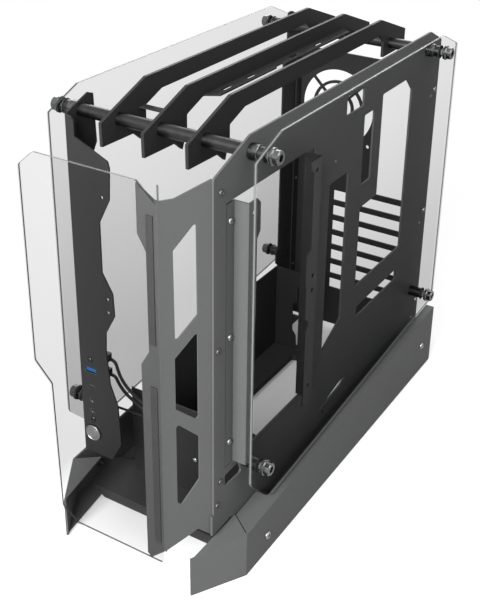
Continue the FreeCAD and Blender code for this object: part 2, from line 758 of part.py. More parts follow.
def foot_corners(side):
    """Corner points (x, y) of one foot: tip, fold and rear, on its outer face."""
    gap = foot_gap if side > 0 else left_foot_gap
    outer = side * (wall_x + gap + foot_sheet)
    tip = outer - side * foot_tip_inset
    return (tip, foot_tip_y), (outer, foot_fold_y), (outer, foot_rear_y)


def foot(side):
    """Long folded foot: side face, front face turned in to a tip, flanges top and bottom."""
    tip, fold, rear = (Vector(*corner, 0) for corner in foot_corners(side))
    path = [(tip.x, tip.y), (fold.x, fold.y), (rear.x, rear.y)]
    if side < 0:
        path = path[::-1]
    sheet = folded_path(path, foot_sheet, pad_sheet, foot_top_rear + 5)
    above_long = side_slab([
        (fold.y, foot_top_fold), (rear.y + 1, foot_top_rear), (rear.y + 1, foot_top_rear + 20),
        (fold.y, foot_top_rear + 20),
    ], -2 * wall_x, 4 * wall_x)
    above_front = side_slab([
        (tip.y - 5, foot_top_tip), (tip.y, foot_top_tip), (fold.y, foot_top_fold),
        (fold.y, foot_top_rear + 20), (tip.y - 5, foot_top_rear + 20),
    ], -2 * wall_x, 4 * wall_x)
    sheet = sheet.cut([above_long, above_front])
    inward = -side
    width = foot_flange
    inner_x = fold.x + inward * width
    mitre_y = fold.y + 15.5
    bottom_x = fold.x + inward * foot_bottom_flange
    bottom = level_slab([
        (tip.x, tip.y), (fold.x, fold.y), (rear.x, rear.y), (bottom_x, rear.y), (bottom_x, mitre_y),
    ], pad_sheet, foot_sheet)
    bolts = [
        cylinder(Vector(fold.x - 5, y, z), ALONG_X, screw_radius, 10) for y, z in foot_screws
    ]
    pieces = [bottom]
    if side > 0:
        strip_x = fold.x + inward * foot_strip
        top_level = level_slab([
            (fold.x, fold.y + 1.5), (rear.x, rear.y), (strip_x, rear.y), (strip_x, foot_step_y, 3),
            (inner_x + 0.7, foot_step_y, 2), (inner_x + 0.7, mitre_y + 1.5),
        ], foot_top_fold - 10, foot_top_rear)
        ramp = side_slab([
            (fold.y, foot_top_fold), (rear.y, foot_top_rear), (rear.y, foot_top_rear - foot_sheet),
            (fold.y, foot_top_fold - foot_sheet),
        ], inner_x, width)
        pieces.append(ramp.common(top_level))
    cap_level = level_slab([
        (tip.x, tip.y), (fold.x, fold.y), (inner_x, mitre_y),
    ], 0, foot_top_rear)
    cap_ramp = side_slab([
        (tip.y, foot_top_tip), (fold.y + 16, foot_top_fold + 1.8),
        (fold.y + 16, foot_top_fold + 1.8 - foot_sheet), (tip.y, foot_top_tip - foot_sheet),
    ], min(tip.x, inner_x, fold.x) - 1, width + foot_tip_inset)
    pieces.append(cap_ramp.common(cap_level))
    return sheet.fuse(pieces).removeSplitter().cut(bolts)


def foot_spacers():
    """Tubes and washers that hold each foot off its wall at the foot screws."""
    rings = []
    for y, z in foot_screws:
        for x, length in ((wall_x, foot_gap), (-wall_x - left_foot_gap, left_foot_gap)):
            ring = cylinder(Vector(x, y, z), ALONG_X, 5.0, length)
            rings.append(ring.cut(cross_bore(y, z, screw_radius)))
    return group(rings)


def foot_screws_group():
    """Button screws through each foot into the walls."""
    screws = []
    for side, gap in ((1, foot_gap), (-1, left_foot_gap)):
        axis = ALONG_X * side
        for y, z in foot_screws:
            seat = Vector(side * (wall_x + gap + foot_sheet), y, z)
            head = Part.makeCone(foot_head_radius, foot_head_radius - 1.2, foot_head_height, seat, axis)
            length = gap + foot_sheet + wall_sheet + 2
            shank = cylinder(seat - axis * length, axis, screw_radius, length + 0.5)
            screws.append(head.fuse(shank))
    return group(screws)


def foot_pads():
    """Rubber pads under both feet: they carry the case."""
    pads = []
    for side in (1, -1):
        tip, fold, rear = foot_corners(side)
        edge = fold[0]
        inner = edge - side * (foot_bottom_flange - 4)
        for low, high in ((fold[1] + 22, fold[1] + 72), (rear[1] - 60, rear[1] - 10)):
            pads.append(level_slab(rectangle(min(edge - side * 3, inner), low,
                                             max(edge - side * 3, inner), high, 3), 0, pad_sheet))
    return group(pads)


def screws_at(places, x, outward):
    """Pan-head screws on a wall face at x."""
    return [pan_screw(Vector(x, y, z), ALONG_X * outward) for y, z in places]


def motherboard_standoffs():
    """Long hexagonal standoffs on the inside of the right wall, at the board's hole pattern."""
    inside = wall_x - wall_sheet
    posts = []
    for y, z in board_places:
        corners = [
            Vector(board_plane, y + standoff_radius * math.cos(math.radians(60 * turn)),
                   z + standoff_radius * math.sin(math.radians(60 * turn)))
            for turn in range(7)
        ]
        post = Part.Face(Part.makePolygon(corners)).extrude(ALONG_X * (inside - board_plane))
        post = post.fuse(cylinder(Vector(inside - 1, y, z), ALONG_X, thread_radius + 0.4, wall_sheet + 1))
        posts.append(post.cut(cylinder(Vector(board_plane - 1, y, z), ALONG_X, thread_radius, 9)))
    return group(posts)


def power_button():
    """Round push button: disc, retaining collar behind the post and stem."""
    face = post_front - button_proud
    back = post_front + folded_sheet
    disc = cylinder(Vector(io_x, face, button_z), ALONG_Y, button_radius, button_proud + folded_sheet + 1)
    disc = disc.makeChamfer(0.6, [disc.Edges[2]])
    collar = cylinder(Vector(io_x, back + button_clearance, button_z), ALONG_Y, button_radius + 1.4, 1.2)
    stem = cylinder(Vector(io_x, back, button_z), ALONG_Y, 2.5, switch_face() - 0.4 - button_travel - back)
    return disc.fuse([collar, stem])


def switch_face():
    """Y of the front of the tactile switch on the circuit board."""
    return post_front + board_back - 1.2


def button_housing():
    """Sleeve behind the post that surrounds the button's collar, down to the circuit board."""
    back = post_front + folded_sheet
    sleeve = cylinder(Vector(io_x, back, button_z), ALONG_Y, button_radius + 2.9, post_front + board_back - back)
    bore = cylinder(Vector(io_x, back - 1, button_z), ALONG_Y, button_radius + 1.9, board_back + 2)
    return sleeve.cut(bore)


def io_board():
    """Circuit board behind the post with the tactile switch and cable sockets."""
    y = post_front + board_back
    board = block((io_x - 10.5, io_x + 12.5), (y, y + circuit_sheet), (64.0, 168.0))
    switch = block((io_x - 3, io_x + 3), (switch_face(), y), (button_z - 3, button_z + 3))
    rear = y + circuit_sheet
    sockets = [
        block((io_x + 1, io_x + socket_reach), (rear, rear + socket_depth), (z - half, z + half))
        for z, half in lead_sockets
    ]
    posts = [
        cylinder(Vector(io_x, post_front + folded_sheet, z), ALONG_Y, 2.6, board_back - folded_sheet)
        for z in board_screw_z
    ]
    board = board.fuse([switch] + sockets + posts).removeSplitter()
    return board.cut([
        cylinder(Vector(io_x, post_front, z), ALONG_Y, screw_radius, screw_shank + 0.3) for z in board_screw_z
    ])


def lead(points, radius):
    """Round cable along straight runs joined by tangent arcs, each as large as its runs allow."""
    corners = [Vector(*point) for point in points]
    edges = []
    start = corners[0]
    for before, corner, after in zip(corners, corners[1:], corners[2:]):
        back = before - corner
        ahead = after - corner
        reach = 0.45 * min(back.Length, ahead.Length)
        back.normalize()
        ahead.normalize()
        half = back.getAngle(ahead) / 2
        bend = reach * math.tan(half)
        middle = corner + (back + ahead).normalize() * (bend / math.sin(half) - bend)
        first = corner + back * reach
        last = corner + ahead * reach
        edges += [Part.LineSegment(start, first).toShape(), Part.Arc(first, middle, last).toShape()]
        start = last
        print("lead arc", round(bend, 1))
    edges.append(Part.LineSegment(start, corners[-1]).toShape())
    path = Part.Wire(edges)
    section = Part.Wire([Part.makeCircle(radius, corners[0], corners[1] - corners[0])])
    tube = path.makePipeShell([section], True, False)
    print("lead", round(path.Length, 1), "volume ratio", round(tube.Volume / (math.pi * radius ** 2 * path.Length), 3))
    return tube


def port_leads():
    """Leads from the circuit board's sockets to the hub on the bay's front wall."""
    middle_y = post_front + board_back + circuit_sheet + socket_depth / 2
    enter_y = bay_front - hub[4] / 2
    leads = []
    for (z, _), radius, route, end_z in zip(lead_sockets, lead_radii, lead_routes, hub_entries):
        points = ((io_x + socket_reach - 1, middle_y, z),) + route + ((hub[0] + 1, enter_y, end_z),)
        leads.append(lead(points, radius).cut([io_board(), port_hub()]))
    return group(leads)


def port_hub():
    """Small closed box on the bay's front wall that the leads plug into."""
    return block(hub[:2], (bay_front - hub[4], bay_front), hub[2:4])


def bay_screws():
    """Screws through the bay's front wall."""
    return group([pan_screw(Vector(x, bay_front, z), -ALONG_Y) for x, z in bay_screw_places])


def usb_a_port():
    """Full-size socket: metal shell round a tongue, from the post face to the board."""
    depth = board_back
    shell = front_slab(rectangle(io_x - 6.6, usb_a_z - 2.9, io_x + 6.6, usb_a_z + 2.9, 0.5), post_front, depth)
    hollow = front_slab(rectangle(io_x - 6.2, usb_a_z - 2.5, io_x + 6.2, usb_a_z + 2.5, 0.3),
                        post_front - 1, depth - 1)
    return shell.cut(hollow)


def usb_a_tongue():
    """Contact carrier inside the full-size socket."""
    return block((io_x - 5.5, io_x + 5.5), (post_front + 0.6, post_front + board_back - 2),
                 (usb_a_z + 0.2, usb_a_z + 2.0))


def usb_c_port():
    """Small oval socket with its tongue."""
    depth = board_back
    shell = front_slab(rectangle(io_x - 4.5, usb_c_z - 1.6, io_x + 4.5, usb_c_z + 1.6, 1.55), post_front, depth)
    hollow = front_slab(rectangle(io_x - 4.2, usb_c_z - 1.3, io_x + 4.2, usb_c_z + 1.3, 1.25),
                        post_front - 1, depth - 1)
    tongue = block((io_x - 3.3, io_x + 3.3), (post_front + 0.8, post_front + depth - 1),
                   (usb_c_z - 0.35, usb_c_z + 0.35))
    return shell.cut(hollow).fuse(tongue)


def audio_jacks():
    """Two round sockets for headphones and microphone."""
    barrels = []
    for z in jack_z:
        barrel = cylinder(Vector(io_x, post_front - 0.3, z), ALONG_Y, 3.0, board_back + 0.3)
        barrels.append(barrel.cut(cylinder(Vector(io_x, post_front - 1, z), ALONG_Y, 1.8, 8)))
    return group(barrels)


def post_screws():
    """Screws through the post into the circuit board's posts."""
    return group([pan_screw(Vector(io_x, post_front, z), -ALONG_Y) for z in board_screw_z])


def build():
    """Every piece by name."""
    wall_inside = wall_x - wall_sheet - folded_sheet
    return {
        "right_side_plate": right_side_plate(),
        "front_right_pillar": front_right_pillar(),
        "left_front_post": left_front_post(),
        "left_rear_post": left_rear_post(),
        "rear_panel": rear_panel(),
        "rib_left": rib(-rib_pitch),
        "rib_centre": rib_centre(),
        "rib_right": rib(rib_pitch),
        "front_cross_rod": cross_rod(front_rod_y, front_rod_z),
        "rear_cross_rod": cross_rod(rear_rod_y, rear_rod_z),
        "rod_collars": rod_collars(),
        "glass_standoffs": glass_standoffs(),
        "left_glass": side_glass(-1),
        "right_glass": side_glass(1),
        "front_glass": front_glass(),
        "front_glass_tape": front_glass_tape(),
        "glass_knobs": glass_knobs(),
        "glass_washers": glass_washers(),
        "side_fan_rail_front": side_fan_rail_front(),
        "side_fan_rail_rear": side_fan_rail_rear(),
        "bottom_pan": bottom_pan(),
        "psu_bay": psu_bay(),
        "top_strip": top_strip(),
        "right_foot": foot(1),
        "left_foot": foot(-1),
        "foot_spacers": foot_spacers(),
        "foot_screws": foot_screws_group(),
        "foot_pads": foot_pads(),
        "pillar_screws": group(screws_at(strip_places, wall_x, 1)),
        "rail_screws": group(screws_at(rail_places, wall_x - wall_sheet + folded_sheet, 1)),
        "rear_panel_screws": group(screws_at(rear_fold_places, wall_x, 1)
                                   + screws_at(rear_fold_places, -wall_x, -1)),
        "pan_screws": group(screws_at(pan_places, wall_inside, -1)),
        "motherboard_standoffs": motherboard_standoffs(),
        "power_button": power_button(),
        "button_housing": button_housing(),
        "io_board": io_board(),
        "port_leads": port_leads(),
        "port_hub": port_hub(),
        "bay_screws": bay_screws(),
        "usb_a_port": usb_a_port(),
        "usb_a_tongue": usb_a_tongue(),
        "usb_c_port": usb_c_port(),
        "audio_jacks": audio_jacks(),
        "post_screws": post_screws(),
    }


def main():
    """Stand the assembly on its pads, centre it over the origin and write each piece."""
    pieces = build()
    bounds = group(list(pieces.values())).BoundBox
    shift = Vector(-bounds.Center.x, -bounds.Center.y, -bounds.ZMin)
    os.makedirs("parts", exist_ok=True)
    for name, shape in pieces.items():
        shape.translate(shift)
        print(name, len(shape.Solids), shape.isValid(), round(shape.Volume / 1000, 2))
        shape.exportStep(f"parts/{name}.step")
    print("shift", tuple(round(value, 3) for value in shift))
    print("size", round(bounds.XLength, 1), round(bounds.YLength, 1), round(bounds.ZLength, 1))


main()
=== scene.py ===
"""Blender half of the open-frame computer case: fine pieces, finishes, camera and studio light.

Sizes in the classes are millimetres in the case's own frame: X to the right seen from the front,
Y to the rear and Z up. Meshes and the studio are in metres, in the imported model's frame.
"""
import logging
import math
from collections.abc import Callable, Iterable, Mapping, Sequence
from dataclasses import dataclass
from enum import Enum

import bmesh
import bpy
from mathutils import Matrix, Vector


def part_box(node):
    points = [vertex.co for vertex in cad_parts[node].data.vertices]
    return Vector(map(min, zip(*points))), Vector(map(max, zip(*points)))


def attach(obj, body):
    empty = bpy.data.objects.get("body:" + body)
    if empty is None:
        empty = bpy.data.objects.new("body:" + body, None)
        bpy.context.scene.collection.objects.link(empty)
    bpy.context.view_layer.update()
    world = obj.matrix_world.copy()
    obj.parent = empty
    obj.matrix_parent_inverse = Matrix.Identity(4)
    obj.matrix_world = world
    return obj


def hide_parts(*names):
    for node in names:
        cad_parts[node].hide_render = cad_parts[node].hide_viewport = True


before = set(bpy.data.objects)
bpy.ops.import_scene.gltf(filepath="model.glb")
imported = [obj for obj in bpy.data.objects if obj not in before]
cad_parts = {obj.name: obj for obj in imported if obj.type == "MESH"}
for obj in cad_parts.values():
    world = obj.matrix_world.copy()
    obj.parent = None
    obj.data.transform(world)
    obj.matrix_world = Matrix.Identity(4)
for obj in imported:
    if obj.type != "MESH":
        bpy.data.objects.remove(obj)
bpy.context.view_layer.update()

Piece = bpy.types.Object
Pair = tuple[float, float]
Point = tuple[float, float, float]
Colour = tuple[float, float, float, float]
Box = tuple[Vector, Vector]

LOG = logging.getLogger("open_frame_case")
MM = 0.001
WELD = 0.002 * MM
FLAT_ANGLE = math.radians(0.3)
CASE_SHIFT = Vector((0.0, 1.55, 0.0))  # from the case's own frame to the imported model's, in mm


class Way(Enum):
    """Directions that a turned piece can point in."""

    RIGHT = (1.0, 0.0, 0.0)
    LEFT = (-1.0, 0.0, 0.0)
    FRONT = (0.0, -1.0, 0.0)


def spot(x: float, y: float, z: float) -> Vector:
    """Point of the case's own frame, in millimetres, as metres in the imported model's frame."""
    return (Vector((x, y, z)) + CASE_SHIFT) * MM


# Material trees


def _operation(kind: str, flipped: bool = False) -> Callable[..., "Wire"]:
    """Method of a wire that adds a Math node, with the other value on the left where flipped."""
    def result(wire: "Wire", other: "Wire | float" = 0.0) -> "Wire":
        values = (other, wire) if flipped else (wire, other)
        return wire.recipe.add("ShaderNodeMath", {"operation": kind}, dict(enumerate(values)))
    return result


class Wire:
    """Output socket of a node; arithmetic on it adds Math nodes."""

    __add__ = _operation("ADD")
    __radd__ = _operation("ADD", flipped=True)
    __sub__ = _operation("SUBTRACT")
    __rsub__ = _operation("SUBTRACT", flipped=True)
    __mul__ = _operation("MULTIPLY")
    __truediv__ = _operation("DIVIDE")
    __pow__ = _operation("POWER")
    larger = _operation("MAXIMUM")
    smaller = _operation("MINIMUM")
    size = _operation("ABSOLUTE")
    wave = _operation("SINE")

    def __init__(self, recipe: "Recipe", socket: bpy.types.NodeSocket) -> None:
        """Wrap an output socket of a recipe's tree."""
        self.recipe = recipe
        self.socket = socket

    def held(self) -> "Wire":
        """Value kept between 0 and 1."""
        return self.larger(0.0).smaller(1.0)


class Recipe:
    """Node tree of one material or world."""

    def __init__(self, name: str, family: str = "materials") -> None:
        """Start an empty material or one of another family of data."""
        self.owner = getattr(bpy.data, family).new(name)
        self.owner.use_nodes = True
        self.tree = self.owner.node_tree
        self.tree.nodes.clear()

    def add(
        self,
        kind: str,
        settings: Mapping[str, object] | None = None,
        sockets: Mapping[int | str, object] | None = None,
        out: int | str = 0,
    ) -> Wire:
        """Add a node with settings and with values or wires on its inputs, and return one output."""
        node = self.tree.nodes.new(kind)
        for name, value in (settings or {}).items():
            setattr(node, name, value)
        for key, value in (sockets or {}).items():
            if isinstance(value, Wire):
                self.tree.links.new(value.socket, node.inputs[key])
            else:
                node.inputs[key].default_value = value
        return Wire(self, node.outputs[out])

    def place(self) -> Wire:
        """Object coordinates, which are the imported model's metres."""
        return self.add("ShaderNodeTexCoord", out="Object")

    def axes(self) -> tuple[Wire, Wire, Wire]:
        """The three object coordinates apart, in millimetres."""
        apart = self.add("ShaderNodeSeparateXYZ", sockets={0: self.place()})
        wires = [Wire(self, apart.socket.node.outputs[index]) * (1 / MM) for index in range(3)]
        return wires[0], wires[1], wires[2]

    def grain(self, size: float, detail: float = 2.0, stretch: Point | None = None) -> Wire:
        """Noise from 0 to 1 with a grain of about a size in millimetres, denser by its stretch."""
        place = self.place()
        if stretch:
            place = self.add("ShaderNodeVectorMath", {"operation": "MULTIPLY"}, {0: place, 1: stretch})
        sockets = {"Vector": place, "Scale": 1 / (size * MM), "Detail": detail}
        return self.add("ShaderNodeTexNoise", sockets=sockets)

    def spread(self, wire: Wire, low: float, high: float) -> Wire:
        """Value through a ramp from black at one place to white at another."""
        ramp = self.add("ShaderNodeValToRGB", sockets={"Fac": wire})
        elements = ramp.socket.node.color_ramp.elements
        for element, place, colour in zip(elements, (low, high), (grey(0.0), grey(1.0))):
            element.position = place
            element.color = colour
        return ramp

    def blend(self, factor: Wire | float, low: object, high: object) -> Wire:
        """Colour between two colours or colour wires."""
        return self.add("ShaderNodeMix", {"data_type": "RGBA"}, {0: factor, 6: low, 7: high}, out=2)

    def relief(self, height: Wire, depth: float) -> Wire:
        """Normal of a relief whose full height is a depth in millimetres."""
        sockets = {"Height": height, "Distance": depth * MM, "Strength": 1.0}
        return self.add("ShaderNodeBump", sockets=sockets)

    def skin(self, sockets: Mapping[str, object]) -> bpy.types.Material:
        """Finish the material with a Principled surface of these values or wires."""
        return self.surface(self.add("ShaderNodeBsdfPrincipled", sockets=sockets))

    def surface(self, shader: Wire, output: str = "ShaderNodeOutputMaterial") -> bpy.types.ID:
        """Finish the material or world with any shader."""
        end = self.tree.nodes.new(output)
        self.tree.links.new(shader.socket, end.inputs["Surface"])
        return self.owner


def grey(value: float, warmth: float = 0.0) -> Colour:
    """Neutral colour, slightly bluer where warmth is negative."""
    return (value * (1 + warmth), value, value * (1 - warmth), 1.0)


def tinted(colour: Sequence[float], factor: float) -> Colour:
    """Colour made lighter or darker by a factor."""
    return (colour[0] * factor, colour[1] * factor, colour[2] * factor, 1.0)


# Finishes


@dataclass(frozen=True)
class PowderCoat:
    """Fine textured powder coat over folded sheet."""

    name: str
    colour: Colour
    grain_size: float = 1.1
    grain_depth: float = 0.022
    speckle: Pair = (0.40, 0.68)
    cloud_size: float = 45.0
    roughness: float = 0.5
    gloss: float = 0.1

    def material(self) -> bpy.types.Material:
        """Coat with a fine orange-peel grain and slight speckle."""
        recipe = Recipe(self.name)
        fine = recipe.grain(self.grain_size, 3.0)
        speckle = recipe.spread(recipe.grain(self.grain_size * 0.45, 1.0), *self.speckle)
        cloud = recipe.grain(self.cloud_size)
        tone = recipe.blend(speckle * 0.4, tinted(self.colour, 0.9), tinted(self.colour, 1.35))
        tone = recipe.blend(cloud * 0.35, tone, tinted(self.colour, 0.82))
        return recipe.skin({
            "Base Color": tone,
            "Roughness": self.roughness - 0.07 + fine * 0.14,
            "Specular IOR Level": self.gloss,
            "Normal": recipe.relief(fine, self.grain_depth),
        })


@dataclass(frozen=True)
class TurnedSteel:
    """Turned or plated steel with fine tool marks."""

    name: str
    colour: Colour
    roughness: float = 0.32
    mark_size: float = 0.35
    mark_depth: float = 0.006
    cloud_size: float = 9.0

    def material(self) -> bpy.types.Material:
        """Metal with faint marks and cloudy roughness."""
        recipe = Recipe(self.name)
        marks = recipe.grain(self.mark_size)
        cloud = recipe.grain(self.cloud_size)
        tone = recipe.blend(cloud, tinted(self.colour, 0.85), tinted(self.colour, 1.12))
        return recipe.skin({
            "Base Color": tone,
            "Metallic": 1.0,
            "Roughness": self.roughness - 0.06 + cloud * 0.12,
            "Normal": recipe.relief(marks, self.mark_depth),
        })


@dataclass(frozen=True)
class TurnedFace:
    """Metal face with fine tool rings about an axis along Y."""

    name: str
    colour: Colour
    centre: Pair
    pitch: float = 0.6
    depth: float = 0.05
    cloud_size: float = 6.0
    roughness: float = 0.3

    def material(self) -> bpy.types.Material:
        """Metal whose rings spread each highlight into two fans."""
        recipe = Recipe(self.name)
        x, _, z = recipe.axes()
        radius = ((x - self.centre[0]) ** 2.0 + (z - self.centre[1]) ** 2.0) ** 0.5
        rings = (radius * (2 * math.pi / self.pitch)).wave() * 0.5 + 0.5
        cloud = recipe.grain(self.cloud_size)
        return recipe.skin({
            "Base Color": recipe.blend(cloud, tinted(self.colour, 0.85), tinted(self.colour, 1.1)),
            "Metallic": 1.0,
            "Roughness": self.roughness - 0.05 + cloud * 0.1,
            "Normal": recipe.relief(rings, self.depth),
        })


@dataclass(frozen=True)
class Moulded:
    """Moulded plastic or rubber with a fine spark-eroded texture."""

    name: str
    colour: Colour
    roughness: float = 0.55
    grain_size: float = 0.5
    grain_depth: float = 0.015
    cloud_size: float = 14.0
    gloss: float = 0.35

    def material(self) -> bpy.types.Material:
        """Matt plastic with grain and slight tone changes."""
        recipe = Recipe(self.name)
        fine = recipe.grain(self.grain_size)
        cloud = recipe.grain(self.cloud_size)
        tone = recipe.blend(cloud, tinted(self.colour, 0.85), tinted(self.colour, 1.2))
        return recipe.skin({
            "Base Color": tone,
            "Roughness": self.roughness - 0.05 + fine * 0.1,
            "Specular IOR Level": self.gloss,
            "Normal": recipe.relief(fine, self.grain_depth),
        })


@dataclass(frozen=True)
class PaneFace:
    """Clear face of a toughened pane."""

    name: str
    # alpha_low and alpha_high paint a reflection: the tint is denser low on the pane than high up.
    alpha_low: float = 0.25
    alpha_high: float = 0.12
    low: float = 130.0
    high: float = 410.0
    haze_size: float = 70.0

    def material(self) -> bpy.types.Material:
        """Nearly clear surface whose grey tint, a painted reflection, fades upwards, with a faint
        polishing haze.
        """
        recipe = Recipe(self.name)
        haze = recipe.grain(self.haze_size, 3.0)
        _, _, z = recipe.axes()
        rise = ((z - self.low) / (self.high - self.low)).held()
        return recipe.skin({
            "Base Color": recipe.blend(haze, grey(0.003), grey(0.006)),
            "Roughness": 0.015 + haze * 0.02,
            "Alpha": self.alpha_low + rise * (self.alpha_high - self.alpha_low),
            "Specular IOR Level": 0.0,
        })


@dataclass(frozen=True)
class PaneEdge:
    """Ground edge of a toughened pane, which shows as a line along the pane's middle."""

    name: str
    colour: Colour
    axis: int
    middle: float
    half: float = 0.75
    blur: float = 0.4
    clear: float = 0.15
    solid: float = 0.95
    mark_size: float = 1.2

    def material(self) -> bpy.types.Material:
        """Grey line with fine grinding marks between two clear seams."""
        recipe = Recipe(self.name)
        marks = recipe.grain(self.mark_size, stretch=(6.0, 1.0, 1.0))
        off = (recipe.axes()[self.axis] - self.middle).size()
        line = ((self.half + self.blur / 2 - off) / self.blur).held()
        return recipe.skin({
            "Base Color": recipe.blend(marks, tinted(self.colour, 0.7), tinted(self.colour, 1.3)),
            "Roughness": 0.3 + marks * 0.15,
            "Alpha": self.clear + line * (self.solid - self.clear),
            "Specular IOR Level": 0.2,
            "Normal": recipe.relief(marks, 0.01),
        })


class Finish(Enum):
    """Every finish of the case, by name."""

    CHARCOAL = PowderCoat("charcoal_coat", grey(0.071, -0.01))
    BLACK = PowderCoat("black_coat", grey(0.019, -0.01), gloss=0.09)
    # The pan is the charcoal coat made darker: painted shade inside the case.
    PAINTED_SHADE_PAN = PowderCoat("pan_coat_painted_shade", grey(0.034, -0.01))
    BLACK_STEEL = TurnedSteel("black_steel", grey(0.05), 0.34)
    DARK_CHROME = TurnedSteel("dark_chrome", grey(0.16, -0.02), 0.2)
    SCREW_STEEL = TurnedSteel("screw_steel", grey(0.34), 0.3)
    DULL_STEEL = TurnedSteel("dull_steel", grey(0.10), 0.42)
    RUBBER = Moulded("black_rubber", grey(0.022), 0.72, 0.8)
    TAPE = Moulded("bond_tape", grey(0.03), 0.8, 0.4)
    PLASTIC = Moulded("black_plastic", grey(0.024), 0.5)
    BLUE_PLASTIC = Moulded("blue_plastic", (0.001, 0.062, 0.19, 1.0), 0.6, gloss=0.15)
    LEAD_JACKET = Moulded("lead_jacket", grey(0.017), 0.5, 0.6)
    PORT_STEEL = TurnedSteel("port_steel", grey(0.24), 0.3)
    CIRCUIT = Moulded("circuit", (0.012, 0.035, 0.022, 1.0), 0.35, 0.3)
    BRASS = TurnedSteel("brass", (0.60, 0.44, 0.19, 1.0), 0.28)
    SILVER = TurnedFace("silver_button", grey(0.34), (-74.0, 78.5))
    # Both pane finishes carry a painted reflection: their tint is densest low on the pane.
    PANE = PaneFace("pane")
    FRONT_PANE = PaneFace("front_pane", alpha_low=0.17, alpha_high=0.09)
    # The two side pane edges are the same ground glass: the right one is painted lighter as lit, the left
    # one darker as shaded.
    EDGE = PaneEdge("right_pane_edge_painted_lit", grey(0.12, -0.03), 0, 104.5)
    PAINTED_SHADE_EDGE = PaneEdge("left_pane_edge_painted_shade", grey(0.018, -0.03), 0, -104.5, half=0.9)
    FRONT_EDGE = PaneEdge("front_pane_edge", grey(0.03, -0.03), 1, -246.95)


# Modelling


def only(piece: Piece) -> None:
    """Select one object and nothing else."""
    bpy.ops.object.select_all(action="DESELECT")
    piece.select_set(True)
    bpy.context.view_layer.objects.active = piece


def added(name: str, data: bpy.types.ID) -> Piece:
    """New object of some data, in the scene."""
    piece = bpy.data.objects.new(name, data)
    bpy.context.scene.collection.objects.link(piece)
    return piece


def put_modifier(piece: Piece, kind: str, settings: Mapping[str, object]) -> None:
    """Add a modifier with its settings and apply it."""
    only(piece)
    modifier = piece.modifiers.new(kind.lower(), kind)
    for name, value in settings.items():
        setattr(modifier, name, value)
    bpy.ops.object.modifier_apply(modifier=modifier.name)


def copied(node: str, name: str) -> Piece:
    """Merged copy of a CAD node, with its triangles joined in pairs, that rides on nothing yet."""
    piece = added(name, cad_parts[node].data.copy())
    only(piece)
    bpy.ops.object.mode_set(mode="EDIT")
    bpy.ops.mesh.customdata_custom_splitnormals_clear()
    bpy.ops.mesh.select_all(action="SELECT")
    bpy.ops.mesh.remove_doubles(threshold=WELD)
    bpy.ops.mesh.tris_convert_to_quads(face_threshold=FLAT_ANGLE, shape_threshold=math.pi)
    bpy.ops.mesh.normals_make_consistent(inside=False)
    bpy.ops.object.mode_set(mode="OBJECT")
    return piece


def smoothed(piece: Piece, angle: float = 32.0) -> None:
    """Shade smooth over bends and sharp over edges."""
    only(piece)
    bpy.ops.object.shade_smooth_by_angle(angle=math.radians(angle))


def rounded(piece: Piece, edge: float = 0.25, segments: int = 2) -> Piece:
    """Round the sharp edges of a piece to a width in millimetres."""
    put_modifier(piece, "BEVEL", {
        "width": edge * MM,
        "segments": segments,
        "limit_method": "ANGLE",
        "angle_limit": math.radians(40),
        "use_clamp_overlap": True,
        "miter_outer": "MITER_ARC",
    })
    smoothed(piece)
    put_modifier(piece, "WEIGHTED_NORMAL", {"mode": "FACE_AREA", "weight": 100, "keep_sharp": True})
    return piece


# Bench tools


def islands(node: str) -> list[Box]:
    """Lowest and highest corner in metres of each solid of a CAD node, ordered by place."""
    mesh = bmesh.new()
    mesh.from_mesh(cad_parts[node].data)
    bmesh.ops.remove_doubles(mesh, verts=mesh.verts, dist=WELD)
    left = set(mesh.verts)
    boxes = []
    while left:
        group = {left.pop()}
        edge = list(group)
        while edge:
            near = {link.other_vert(corner) for corner in edge for link in corner.link_edges} & left
            left -= near
            group |= near
            edge = list(near)
        low = Vector(min(corner.co[axis] for corner in group) for axis in range(3))
        high = Vector(max(corner.co[axis] for corner in group) for axis in range(3))
        boxes.append((low, high))
    mesh.free()
    return sorted(boxes, key=lambda box: tuple(round(value, 5) for value in box[0]))


def seat_of(box: Box, way: Way, back: float) -> Vector:
    """Point on a solid's axis, a length in millimetres in from its end on the way it points."""
    low, high = box
    point = (low + high) / 2
    axis = Vector(way.value)
    for index in range(3):
        if abs(axis[index]) > 0.5:
            end = high if axis[index] > 0 else low
            point[index] = end[index] - axis[index] * back * MM
    return point


def named(name: str) -> Piece:
    """The object just added, under its own name and in edit mode with all of it selected."""
    piece = bpy.context.active_object
    piece.name = name
    bpy.ops.object.mode_set(mode="EDIT")
    bpy.ops.mesh.select_mode(type="VERT")
    bpy.ops.mesh.select_all(action="SELECT")
    return piece


def cleaned(piece: Piece) -> Piece:
    """Merge doubles, turn the normals outwards and leave edit mode."""
    bpy.ops.mesh.select_all(action="SELECT")
    bpy.ops.mesh.remove_doubles(threshold=WELD)
    bpy.ops.mesh.normals_make_consistent(inside=False)
    bpy.ops.object.mode_set(mode="OBJECT")
    return piece


def turned(
    name: str, profile: Sequence[Pair], sides: int = 40, ring: bool = False
) -> Piece:
    """Piece turned about Z: a circle extruded along a profile of radii and heights in millimetres.

    A ring's profile closes on itself round a bore, instead of ending in two caps.
    """
    bpy.ops.object.select_all(action="DESELECT")
    radius, height = profile[0]
    bpy.ops.mesh.primitive_circle_add(vertices=sides, radius=radius * MM, fill_type="NOTHING")
    piece = named(name)
    bpy.ops.transform.translate(value=(0, 0, height * MM))
    steps = list(profile[1:]) + ([profile[0]] if ring else [])
    for next_radius, next_height in steps:
        bpy.ops.mesh.extrude_region_move(
            TRANSFORM_OT_translate={"value": (0, 0, (next_height - height) * MM)}
        )
        scale = next_radius / radius
        bpy.ops.transform.resize(value=(scale, scale, 1), center_override=(0, 0, 0))
        radius, height = next_radius, next_height
    if not ring:
        bpy.ops.mesh.select_all(action="SELECT")
        bpy.ops.mesh.fill_holes(sides=sides)
    cleaned(piece)
    smoothed(piece, 30)
    return piece


